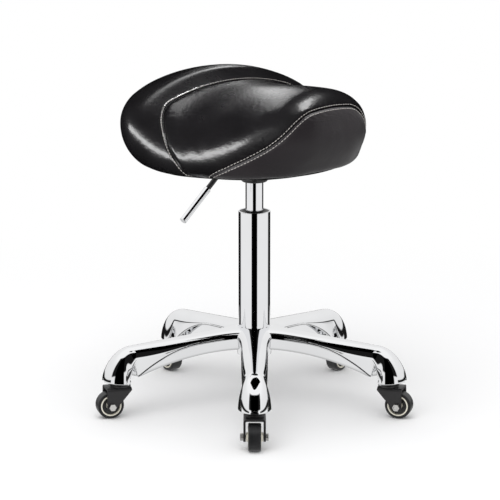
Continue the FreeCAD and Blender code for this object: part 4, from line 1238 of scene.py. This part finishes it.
@dataclass
class SaddleSeat:
    """The upholstered saddle: three leather panels, piping, stitching and the cloth underside."""

    form: SaddleForm
    across: int = 161
    along: int = 60
    seam_depth: float = 0.0022
    seam_width: float = 0.0023
    rim_share: float = 0.6
    slack: float = 0.0012
    slack_width: float = 0.018
    blow_cap: float = 0.0027
    blow_pressure: float = 300.0
    blow_frames: int = 20
    blow_mass: float = 0.1
    blow_bend: float = 50.0
    spare_leather: float = 0.01
    ease_rounds: int = 8
    sewn_width: float = 0.0016
    pucker: float = 0.00035
    pucker_fade: float = 0.010
    nose_fill: float = 0.0030
    nose_fill_at: float = 0.017
    nose_fill_width: float = 0.012
    skin: float = 0.0014
    stitch_offset: float = 0.0034
    stitch_pitch: float = 0.0054
    stitch_length: float = 0.0040
    stitch_radius: float = 0.00042
    stitch_margin: float = 0.009
    piping_radius: float = 0.0013
    piping_inset: float = 0.0012
    socket_hole: float = 0.0225
    slot_from: float = 0.070
    slot_to: float = 0.112
    slot_half: float = 0.007
    row_gaps: tuple[float, ...] = (0.0, 0.0008, 0.0017, 0.0027, 0.0040, 0.0060, 0.0090, 0.0130)
    row_samples: int = 400
    short_panel: float = 0.05
    nose_fill_seam: float = 0.05
    nose_fill_rim: float = 0.01
    pucker_waves: tuple[tuple[float, ...], ...] = ((610.0, 0.0, 1.0), (377.0, 1.3, 0.7), (233.0, 2.1, 0.5))
    pucker_gap: float = 0.003
    sewing_points: int = 400
    stitch_rings: int = 7
    stitch_sides: int = 8
    stitch_fullness: float = 0.6
    stitch_rise: float = 0.7
    stitch_sink: float = 0.25
    under_rows: int = 40
    board_edge: float = 0.001

    def rows_from(self, panel: Panel, t: Array) -> Array:
        """Lay the rows of a panel, close together beside its seams and even between them.

        Each line of constant t is sampled, its arc length is summed, and u is read back at the wanted
        arc lengths between neighbouring samples.

        Args:
            panel: Which panel.
            t: Shares across the saddle.

        Returns:
            u of each row and column.
        """
        share = np.linspace(0.0, 1.0, self.row_samples)[:, None]
        start = np.full_like(t, -self.form.rear)
        end = np.full_like(t, self.form.front)
        if panel is not Panel.REAR:
            start = self.form.seam_place(Seam.POMMEL if panel is Panel.FRONT else Seam.CANTLE, t)
        if panel is not Panel.FRONT:
            end = self.form.seam_place(Seam.CANTLE if panel is Panel.REAR else Seam.POMMEL, t)
        if panel is Panel.REAR:
            share = 1.0 - np.cos(share * math.pi / 2)
        if panel is Panel.FRONT:
            share = np.sin(share * math.pi / 2)
        u = start + (end - start) * share
        points = self.form.surface(u, np.broadcast_to(t, u.shape))
        steps = np.linalg.norm(np.diff(points, axis=0), axis=-1)
        run = np.concatenate([np.zeros((1, len(t))), np.cumsum(steps, axis=0)])
        total = run[-1]
        beside = np.array(self.row_gaps)[:, None] * np.minimum(1.0, total / self.short_panel)
        first = beside if panel is not Panel.REAR else np.zeros((1, len(t)))
        last = (total - beside)[::-1] if panel is not Panel.FRONT else total[None]
        between = np.linspace(0.0, 1.0, self.along)[1:-1, None]
        middle = first[-1] + (last[0] - first[-1]) * between
        wanted = np.concatenate([first, middle, last])
        index = np.clip((run[:, None] <= wanted[None]).sum(axis=0) - 1, 0, self.row_samples - 2)
        run_low, run_high = (np.take_along_axis(run, index + k, axis=0) for k in (0, 1))
        u_low, u_high = (np.take_along_axis(u, index + k, axis=0) for k in (0, 1))
        part = np.clip((wanted - run_low) / np.maximum(run_high - run_low, NO_LENGTH), 0.0, 1.0)
        return u_low + (u_high - u_low) * part

    @staticmethod
    def nearest(points: Array, others: Array) -> Array:
        """Number of the nearest of some other points to each point, by squared distances."""
        flat = points.reshape(-1, 3)
        square = (flat ** 2).sum(axis=1)[:, None] + (others ** 2).sum(axis=1) - 2.0 * flat @ others.T
        return square.argmin(axis=1).reshape(points.shape[:-1])

    def distance(self, points: Array, curve: Array, loop: bool = False) -> Array:
        """Distance from points to a curve: to the tangent line at the nearest point of the curve.

        Args:
            points: Points in any grid shape.
            curve: Points along the curve.
            loop: Whether the curve closes on itself.

        Returns:
            The distances.
        """
        ahead = np.gradient(curve, axis=0)
        if loop:
            ahead = np.roll(curve, -1, axis=0) - np.roll(curve, 1, axis=0)
        ahead = unit(ahead)
        index = self.nearest(points, curve)
        gap = points - curve[index]
        gap = gap - ahead[index] * (gap * ahead[index]).sum(axis=-1, keepdims=True)
        return np.linalg.norm(gap, axis=-1)

    @staticmethod
    def normals(points: Array, panel: Panel) -> Array:
        """Outward normals of a panel's grid, the cross product of its two directions.

        Args:
            points: Grid of the panel.
            panel: Which panel.

        Returns:
            Unit normals, shared where the first and last column meet under the ends.
        """
        normal = np.cross(np.gradient(points, axis=0), np.gradient(points, axis=1))
        length = np.linalg.norm(normal, axis=-1, keepdims=True)
        pole = np.array([-1.0 if panel is Panel.REAR else 1.0, 0.0, 0.0])
        normal = np.where(length > NO_LENGTH, normal / np.maximum(length, NO_LENGTH), pole)
        meet = np.linalg.norm(points[:, 0] - points[:, -1], axis=-1) < WELD_GAP
        both = unit(normal[meet, 0] + normal[meet, -1])
        normal[meet, 0], normal[meet, -1] = both, both
        return normal

    def blown(self, points: Array, sewn: Array) -> Array:
        """Blow a slack panel up as cloth that is sewn down along its edges.

        Args:
            points: Grid of the slack panel, without a pole.
            sewn: Whether each point is held.

        Returns:
            How far each point moves.
        """
        flat = points.reshape(-1, 3)
        spots = np.round(flat, WELD_DIGITS) + 0.0
        _, first, same = np.unique(spots, axis=0, return_index=True, return_inverse=True)
        same = same.ravel()
        start = flat[first]
        sheet = new_piece("slack_panel", start, same[grid_quads(*points.shape[:2])])
        hold = sheet.vertex_groups.new(name="sewn")
        hold.add(np.flatnonzero(sewn.ravel()[first]).tolist(), 1.0, "REPLACE")
        cloth = sheet.modifiers.new("cloth", "CLOTH")
        cloth.settings.vertex_group_mass = hold.name
        cloth.settings.mass = self.blow_mass
        cloth.settings.use_pressure = True
        cloth.settings.uniform_pressure_force = self.blow_pressure
        cloth.settings.shrink_min = -self.spare_leather
        cloth.settings.bending_stiffness = self.blow_bend
        cloth.settings.effector_weights.gravity = 0.0
        for step in range(1, self.blow_frames + 1):
            bpy.context.scene.frame_set(step)
        final = sheet.evaluated_get(bpy.context.evaluated_depsgraph_get()).data
        end = np.empty(start.size, dtype=np.float32)
        final.vertices.foreach_get("co", end)
        bpy.data.objects.remove(sheet)
        bpy.context.scene.frame_set(1)
        return (end.reshape(-1, 3) - start)[same].reshape(points.shape)

    def lifted(self, lift: Array, sewn: Array) -> Array:
        """Even out how far a panel lifts, by means of four neighbours, and keep its sewn edge down.

        Args:
            lift: Lift of each point of the grid.
            sewn: Whether each point is held.

        Returns:
            The evened lift, alike in the first and last column, which meet under the ends.
        """
        for _ in range(self.ease_rounds):
            wide = np.pad(lift, 1, mode="edge")
            lift = (wide[:-2, 1:-1] + wide[2:, 1:-1] + wide[1:-1, :-2] + wide[1:-1, 2:]) / 4
            lift = np.where(sewn, 0.0, lift)
            lift[:, [0, -1]] = (lift[:, [0]] + lift[:, [-1]]) / 2
        return lift

    def panel_points(self, panel: Panel) -> Array:
        """Points of a panel, blown up as cloth and drawn in at its seams.

        The slack panel lies inside the form by slack * (1 - exp(-(d/slack_width)^2)) at a distance d from
        its edges, and the cloth lifts it by no more than a cap. The front panel is fuller in a band above
        the under seam. Then a panel sinks by depth * exp(-(d/width)^2) at a seam, with small puckers beside
        it, the sum of three sine waves along the row.

        Args:
            panel: Which panel.

        Returns:
            Points of shape (rows, across, 3) on the saddle's own axes.
        """
        t = np.linspace(-1.0, 1.0, self.across)
        u = self.rows_from(panel, t)
        points = self.form.surface(u, np.broadcast_to(t, u.shape))
        seams = {
            Panel.REAR: [Seam.CANTLE],
            Panel.MIDDLE: [Seam.CANTLE, Seam.POMMEL],
            Panel.FRONT: [Seam.POMMEL],
        }
        curves = [self.form.seam_curve(seam, 4 * self.across - 3)[0] for seam in seams[panel]]
        seam = np.min([self.distance(points, curve) for curve in curves], axis=0)
        rim = self.distance(points, self.form.under_ring(), loop=True)
        edge = np.minimum(seam, rim)
        inset = self.slack * (1.0 - np.exp(-(edge / self.slack_width) ** 2))
        normal = self.normals(points, panel)
        slack = points - normal * inset[..., None]
        sewn = edge < self.sewn_width
        open_rows = slice(1 if panel is Panel.REAR else 0, -1 if panel is Panel.FRONT else None)
        move = np.zeros_like(points)
        move[open_rows] = self.blown(slack[open_rows], sewn[open_rows])
        lift = self.lifted(np.clip((move * normal).sum(axis=-1), 0.0, self.blow_cap), sewn)
        if panel is Panel.REAR:
            lift[0] = lift[1].mean()
        if panel is Panel.FRONT:
            lift[-1] = lift[-2].mean()
        LOG.info("cloth lifts the %s panel by %.4f m on average", panel.value, lift.mean())
        if panel is Panel.FRONT:
            band = np.exp(-((rim - self.nose_fill_at) / self.nose_fill_width) ** 2)
            inner = smooth_step(0.0, self.nose_fill_seam, seam) * smooth_step(0.0, self.nose_fill_rim, rim)
            lift = lift + self.nose_fill * band * inner
        full = slack + normal * lift[..., None]
        steps = np.linalg.norm(np.diff(full, axis=1), axis=-1)
        run = np.concatenate([np.zeros((len(u), 1)), np.cumsum(steps, axis=1)], axis=1)
        waves = sum(size * np.sin(run * rate + start) for rate, start, size in self.pucker_waves)
        beside = np.exp(-seam / self.pucker_fade) * (1.0 - np.exp(-(seam / self.pucker_gap) ** 2))
        pucker = self.pucker * waves * beside
        draw = np.exp(-(seam / self.seam_width) ** 2) + self.rim_share * np.exp(-(rim / self.seam_width) ** 2)
        return full + self.normals(full, panel) * (pucker - self.seam_depth * draw)[..., None]

    def sewing_line(self, seam: Seam, offset: float, grid: Array, panel: Panel) -> tuple[Array, Array]:
        """Line at a distance from a seam, dropped onto a finished panel.

        Args:
            seam: The seam that the line follows.
            offset: Distance from the seam, positive towards the rear.
            grid: Points of the panel.
            panel: Which panel.

        Returns:
            Points of the line and the panel's normals there, on the saddle's own axes.
        """
        curve, outward = self.form.seam_curve(seam, self.sewing_points)
        beside = curve + offset * np.cross(outward, unit(np.gradient(curve, axis=0)))
        index = self.nearest(beside, grid.reshape(-1, 3))
        normal = self.normals(grid, panel).reshape(-1, 3)[index]
        drop = ((beside - grid.reshape(-1, 3)[index]) * normal).sum(axis=1, keepdims=True)
        return beside - normal * drop, normal

    def stitches(self, line: tuple[Array, Array], name: str) -> None:
        """Sew a row of stitches: stretched beads, sin and cos round an axis, laid along a line.

        Args:
            line: Points of the sewing line and the cover's normals there.
            name: Name of the piece.
        """
        row, normal = line
        steps = np.linalg.norm(np.diff(row, axis=0), axis=1)
        run = np.concatenate([[0.0], np.cumsum(steps)])
        sewn = run[-1] - 2 * self.stitch_margin
        count = int(sewn / self.stitch_pitch)
        middle = self.stitch_margin + (np.arange(count) + 0.5) * sewn / count
        reach = self.stitch_length / 2
        back, front = (self.read_at(middle + side * reach, run, row) for side in (-1, 1))
        ahead = unit(front - back)
        centre = (back + front) / 2
        outward = self.read_at(middle, run, normal)
        outward = unit(outward - ahead * (outward * ahead).sum(axis=1, keepdims=True))
        side = np.cross(ahead, outward)
        lap = np.linspace(0.0, math.pi, self.stitch_rings)[:, None]
        around = np.linspace(0.0, 2 * math.pi, self.stitch_sides, endpoint=False)
        along = -np.cos(lap) * reach * np.ones(self.stitch_sides)
        thick = np.sin(lap) ** self.stitch_fullness * self.stitch_radius
        bow = self.stitch_rise * np.sin(lap) - self.stitch_sink
        lift = thick * np.cos(around) + self.stitch_radius * bow
        wide = thick * np.sin(around)
        beads = (
            centre[:, None, None]
            + ahead[:, None, None] * along[None, ..., None]
            + outward[:, None, None] * lift[None, ..., None]
            + side[:, None, None] * wide[None, ..., None]
        )
        quads = grid_quads(self.stitch_rings, self.stitch_sides, False, True)
        starts = np.arange(count) * self.stitch_rings * self.stitch_sides
        numbers = (quads[None] + starts[:, None, None]).reshape(-1, 4)
        points = self.form.to_frame(beads.reshape(-1, 3))
        piece = close_up(new_piece(name, points, numbers), distance=TINY)
        place(piece, "seat", "leather_glossy", PALE_THREAD)

    @staticmethod
    def read_at(places: Array, run: Array, values: Array) -> Array:
        """Read three-number values at places along a run, between its neighbouring samples."""
        return np.stack([np.interp(places, run, values[:, k]) for k in range(3)], axis=-1)

    def underside_points(self) -> tuple[Array, Array]:
        """Underside below the under seam, on a polar grid from the socket's hole to the seam.

        Returns:
            Points on the saddle's own axes, and quads with the lever's slot left open.
        """
        seam = self.form.under_ring()
        reach = np.linalg.norm(seam[:, :2], axis=1)
        share = np.linspace(0.0, 1.0, self.under_rows)[:, None]
        radius = self.socket_hole + (reach - self.socket_hole) * share
        u, v = radius * seam[:, 0] / reach, radius * seam[:, 1] / reach
        points = np.stack([u, v, self.form.underside(u, v)], axis=-1)
        quads = grid_quads(*u.shape, False, True)[:, ::-1]
        centre = points.reshape(-1, 3)[quads].mean(axis=1)
        in_width = np.abs(centre[:, 0]) < self.slot_half
        in_length = (centre[:, 1] < -self.slot_from) & (centre[:, 1] > -self.slot_to)
        return points, quads[~(in_width & in_length)]

    def build(self) -> None:
        """Make the panels, the stitching, the underside and the piping."""
        finishes = {Panel.REAR: GLOSSY_LEATHER, Panel.MIDDLE: GLOSSY_LEATHER, Panel.FRONT: MATTE_LEATHER}
        slots = {Panel.REAR: "leather_glossy", Panel.MIDDLE: "leather_glossy", Panel.FRONT: "leather_matte"}
        grids = {panel: self.panel_points(panel) for panel in Panel}
        for panel, grid in grids.items():
            quads = grid_quads(*grid.shape[:2])
            piece = new_piece(f"leather_{panel.value}", self.form.to_frame(grid), quads)
            close_up(piece, outwards=False)
            thicken(piece, "skin", self.skin)
            nodes = [f"cover_{panel.value}"]
            if panel is Panel.MIDDLE:
                nodes.append("foam_core")
            place(piece, "seat", slots[panel], finishes[panel], *nodes)
        rows = (
            ("cantle_stitching", Seam.CANTLE, Panel.REAR, self.stitch_offset),
            ("pommel_stitching_upper", Seam.POMMEL, Panel.MIDDLE, self.stitch_offset),
            ("pommel_stitching_lower", Seam.POMMEL, Panel.FRONT, -self.stitch_offset),
        )
        for name, seam, panel, offset in rows:
            self.stitches(self.sewing_line(seam, offset, grids[panel], panel), name)
        points, quads = self.underside_points()
        under = close_up(new_piece("seat_underside", self.form.to_frame(points), quads), outwards=False)
        thicken(under, "cloth", self.skin)
        place(under, "seat", "under_fabric", UNDER_CLOTH, "under_cover")
        edge = self.form.to_frame(points[-1] + unit(points[-2] - points[-1]) * self.piping_inset)
        piping = close_up(new_piece("seat_piping", *tube_along(edge, self.piping_radius)))
        place(piping, "seat", "leather_glossy", PIPING_LEATHER)
        soften(BLACK_COAT, FINE_EDGE, "seat_plate", "lever_bracket")
        soften(ZINC, FINE_EDGE, "plate_bolts", "tee_nuts")
        soften(PLYWOOD, self.board_edge, "seat_board")


@dataclass
class Lever:
    """Height lever: a bent black rod, its pin and a chromed sleeve."""

    pin_edge: float = 0.0003

    def build(self) -> None:
        """Dress the lever's pieces."""
        soften(BLACK_COAT, FINE_EDGE, "lever_rod")
        soften(ZINC, self.pin_edge, "lever_pin")
        soften(TUBE_CHROME, NO_EDGE, "lever_sleeve")


def lit_group(name: str, pieces: tuple[str, ...]) -> bpy.types.Collection:
    """Group the pieces that one light reaches.

    Args:
        name: Name of the light.
        pieces: Names of the pieces.

    Returns:
        The group.
    """
    group = bpy.data.collections.new(f"lit_by_{name}")
    for piece in pieces:
        group.objects.link(bpy.data.objects[piece])
    return group


@dataclass(frozen=True)
class Softbox:
    """A rectangular lamp: its place as seen from the stool, its size, its radiance and what it lights."""

    name: str
    azimuth: float
    elevation: float
    width: float
    height: float
    radiance: float
    lights: tuple[str, ...] = ()
    mirrored: bool = True
    distance: float = 2.0
    roll: float = 0.0

    def hang(self, aim: Vector) -> None:
        """Hang the lamp so that it faces a point.

        Args:
            aim: Point that it faces.
        """
        data = bpy.data.lights.new(self.name, "AREA")
        data.shape = "RECTANGLE"
        data.size, data.size_y = self.width, self.height
        data.energy = self.radiance * math.pi * self.width * self.height
        lamp = bpy.data.objects.new(self.name, data)
        away = toward(self.azimuth, self.elevation)
        lamp.location = aim + away * self.distance
        roll = Quaternion((0.0, 0.0, 1.0), math.radians(self.roll))
        lamp.rotation_euler = (away.to_track_quat("Z", "Y") @ roll).to_euler()
        lamp.visible_camera = False
        lamp.visible_glossy = self.mirrored
        bpy.context.scene.collection.objects.link(lamp)
        if self.lights:
            lamp.light_linking.receiver_collection = lit_group(self.name, self.lights)


LEATHER_PIECES = ("leather_rear", "leather_middle", "leather_front", "seat_piping")
GLOSSY_PIECES = ("leather_rear", "leather_middle", "seat_piping")
SOFTBOXES = (
    Softbox("room_light", -20.0, 62.0, 1.8, 1.8, 2.0, mirrored=False),
    Softbox("side_strip", -46.0, 18.0, 3.4, 0.50, 11.0, LEATHER_PIECES),
    Softbox("rear_strip", -168.5, 49.5, 0.09, 0.60, 2.6, LEATHER_PIECES, distance=0.52, roll=-26.0),
    Softbox("spark", 81.0, 61.5, 0.08, 0.08, 170.0, LEATHER_PIECES, distance=0.675),
)


@dataclass
class Studio:
    """Pale floor, soft light and the camera at the photograph's angle."""

    distance: float = 3.5
    look_down: float = 13.26
    aim_height: float = 0.2516
    aim_side: float = -0.0069
    focal_pixels: float = 2224.7
    frame_pixels: float = 500.0
    sensor: float = 36.0
    floor_radius: float = 6.0
    clear_radius: float = 0.55
    white_radius: float = 1.25
    soft_light: float = 0.90
    seat_height: float = 0.45
    cove_radius: float = 60.0
    card_azimuth: float = 38.0
    card_elevation: float = 46.0
    card_distance: float = 0.25
    card_half: float = 0.15
    far_clip: float = 50.0
    floor_hole: float = 1e-4
    floor_sides: int = 64
    floor_color: tuple[float, ...] = (0.93, 0.93, 0.935, 1.0)
    floor_roughness: float = 0.9
    cove_rings: int = 49
    cove_sides: int = 96
    cove_hole: float = 1e-5

    def camera(self) -> None:
        """Place the camera on a circle about the column, looking slightly down."""
        data = bpy.data.cameras.new("camera")
        data.sensor_width = self.sensor
        data.lens = self.focal_pixels / self.frame_pixels * self.sensor
        data.clip_end = self.far_clip
        camera = bpy.data.objects.new("camera", data)
        angle = math.radians(self.look_down)
        ahead = Vector((0.0, math.cos(angle), -math.sin(angle)))
        aim = Vector((self.aim_side, 0.0, self.aim_height))
        camera.location = aim - ahead * self.distance
        camera.rotation_euler = ahead.to_track_quat("-Z", "Y").to_euler()
        bpy.context.scene.collection.objects.link(camera)
        bpy.context.scene.camera = camera

    def floor(self) -> None:
        """Lay a round floor that keeps the shadow near the stool and is plain white further out."""
        radii = np.array([self.floor_hole, self.clear_radius, self.white_radius, self.floor_radius])
        profile = np.stack([radii, np.zeros_like(radii)], axis=-1)
        floor = new_piece("floor", *turned(profile, self.floor_sides, closed=False))
        graph = MaterialGraph("floor_white")
        graph.finish_with(Base_Color=self.floor_color, Roughness=self.floor_roughness, Specular_IOR_Level=0.0)
        reach = graph.add("ShaderNodeVectorMath", {0: graph.coordinates}, operation="LENGTH").outputs["Value"]
        limits = {"Value": reach, "From Min": self.clear_radius, "From Max": self.white_radius}
        away = graph.add("ShaderNodeMapRange", limits, interpolation_type="SMOOTHSTEP").outputs["Result"]
        white = graph.add("ShaderNodeEmission", {"Color": WHITE, "Strength": 1.0}).outputs[0]
        mix = graph.add("ShaderNodeMixShader", {"Fac": away})
        graph.put(mix.inputs[1], graph.shader.outputs[0])
        graph.put(mix.inputs[2], white)
        graph.show(mix.outputs[0])
        floor.data.materials.append(graph.material)
        floor.visible_glossy = False

    @staticmethod
    def only_reflected(piece: Piece) -> None:
        """Hide a stage object from all but reflections."""
        piece.visible_camera = False
        piece.visible_diffuse = False
        piece.visible_shadow = False

    def cove(self) -> None:
        """Set the studio that gloss reflects on a wide sphere, which the glossy leather does not see.

        It has a pale floor that darkens towards straight down, painted shade of the floor under the stool, a
        dark gap above the floor's edge, pale walls at the back and the sides, a pale ceiling, and on the
        camera's side a dark room with a darker strip down its middle.
        """
        arc = np.radians(np.linspace(-90.0, 90.0, self.cove_rings))
        profile = self.cove_radius * np.stack([np.maximum(np.cos(arc), self.cove_hole), np.sin(arc)], axis=-1)
        cove = new_piece("cove", *turned(profile, self.cove_sides, closed=False))
        graph = MaterialGraph("cove_light")
        direction = graph.add("ShaderNodeVectorMath", {0: graph.coordinates}, operation="NORMALIZE")
        parts = graph.add("ShaderNodeSeparateXYZ", {"Vector": direction.outputs["Vector"]}).outputs
        ahead = graph.math("MULTIPLY", parts["Y"], -1.0)
        turn = graph.math("ARCTAN2", graph.math("ABSOLUTE", parts["X"]), ahead)
        azimuth = graph.math("DIVIDE", turn, math.pi)
        rise = graph.math("DIVIDE", graph.math("ARCSINE", parts["Z"]), math.pi)
        height = graph.math("ADD", rise, 0.5)
        # The reflected floor darkens towards straight down: painted shade of the floor under the stool.
        floor = ((-90, 0.35), (-45, 0.6), (-30, 0.74), (-21, 0.86))
        wall = ((-1, 0.84), (30, 0.9), (50, 1.0))
        near_gap = ((4, 0.88), (6, 0.01), (47, 0.01), (50, 1.0))
        side_gap = ((-9, 0.88), (-7.5, 0.01), (-2.5, 0.01))
        far_gap = ((-19, 0.87), (-16, 0.01), (-4, 0.01))
        near = self.ramp(graph, height, (*floor, *near_gap), STRAIGHT_DOWN)
        side = self.ramp(graph, height, (*floor, *side_gap, *wall), STRAIGHT_DOWN)
        far = self.ramp(graph, height, (*floor, *far_gap, *wall), STRAIGHT_DOWN)
        aside = self.ramp(graph, azimuth, ((0, 0.0), (40, 0.0), (42, 1.0)), AHEAD)
        behind = self.ramp(graph, azimuth, ((0, 0.0), (113, 0.0), (121, 1.0)), AHEAD)
        strip = self.ramp(graph, azimuth, ((0, 0.0), (19.5, 0.0), (21.5, 1.0)), AHEAD)
        ends = ((-90, 1.0), (-52, 1.0), (-44, 0.0), (47, 0.0), (50, 1.0))
        clear = self.ramp(graph, height, ends, STRAIGHT_DOWN)
        round_about = graph.mixed(behind, graph.mixed(aside, near, side), far)
        glow = graph.math("MULTIPLY", round_about, graph.math("MAXIMUM", strip, clear))
        graph.show(graph.add("ShaderNodeEmission", {"Color": WHITE, "Strength": glow}).outputs[0])
        graph.material.cycles.emission_sampling = "NONE"
        cove.data.materials.append(graph.material)
        self.only_reflected(cove)
        group = lit_group("cove", GLOSSY_PIECES)
        for member in group.collection_objects:
            member.light_linking.link_state = "EXCLUDE"
        cove.light_linking.receiver_collection = group

    def card(self) -> None:
        """Hold a black card above the lever's sleeve, which only reflections show."""
        low, high = (Vector(corner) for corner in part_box("lever_sleeve"))
        away = toward(self.card_azimuth, self.card_elevation)
        side = away.orthogonal().normalized()
        axes = np.array([side, away.cross(side)])
        corners = np.array([[[-1.0, -1.0], [1.0, -1.0]], [[-1.0, 1.0], [1.0, 1.0]]]) * self.card_half
        middle = np.array((low + high) / 2 + away * self.card_distance)
        card = new_piece("lever_card", middle + corners @ axes, grid_quads(2, 2))
        graph = MaterialGraph("card_black")
        graph.finish_with(Base_Color=BLACK, Roughness=1.0, Specular_IOR_Level=0.0)
        card.data.materials.append(graph.material)
        self.only_reflected(card)

    def sky(self) -> None:
        """White for the camera, and an even glow on matt surfaces."""
        world = bpy.data.worlds.new("studio")
        world.use_nodes = True
        bpy.context.scene.world = world
        graph = NodeGraph(world.node_tree)
        rays = graph.add("ShaderNodeLightPath").outputs
        background = world.node_tree.nodes["Background"]
        graph.put(background.inputs["Color"], WHITE)
        graph.put(background.inputs["Strength"], graph.mixed(rays["Is Camera Ray"], self.soft_light, 1.0))

    @staticmethod
    def ramp(graph: NodeGraph, factor: object, stops: tuple, start: float) -> bpy.types.NodeSocket:
        """Add a ramp of grey values at angles in degrees, over half a turn from a start angle.

        Args:
            graph: The nodes to add to.
            factor: Angle as a share of half a turn.
            stops: Pairs of angle and grey value.
            start: How far below zero the ramp starts, in degrees.

        Returns:
            The grey value.
        """
        node = graph.add("ShaderNodeValToRGB", {"Fac": factor})
        elements = node.color_ramp.elements
        for index, (angle, value) in enumerate(stops):
            position = (angle + start) / HALF_TURN
            element = elements[index] if index < 2 else elements.new(position)
            element.position = position
            element.color = (value, value, value, 1.0)
        return node.outputs["Color"]

    def build(self) -> None:
        """Make the camera, the floor and the light."""
        self.camera()
        self.floor()
        self.cove()
        self.card()
        self.sky()
        for box in SOFTBOXES:
            box.hang(Vector((0.0, 0.0, self.seat_height)))
        for name in (*LEATHER_PIECES, "seat_underside", "seat_board"):
            bpy.data.objects[name].visible_glossy = False
        bpy.context.scene.view_settings.view_transform = "Standard"


def main() -> None:
    """Build the stool's pieces in order, then the studio."""
    logging.basicConfig(level=logging.INFO, format="%(name)s: %(message)s")
    StarBase().build()
    Column().build()
    for number, azimuth in enumerate(LEG_AZIMUTHS, start=1):
        Castor(number, azimuth).build()
    soften(ZINC, FINE_EDGE, "castor_stems")
    soften(BLACK_PLASTIC, FINE_EDGE, "castor_caps")
    SaddleSeat(SaddleForm()).build()
    Lever().build()
    Studio().build()


if __name__ == "__main__":
    main()
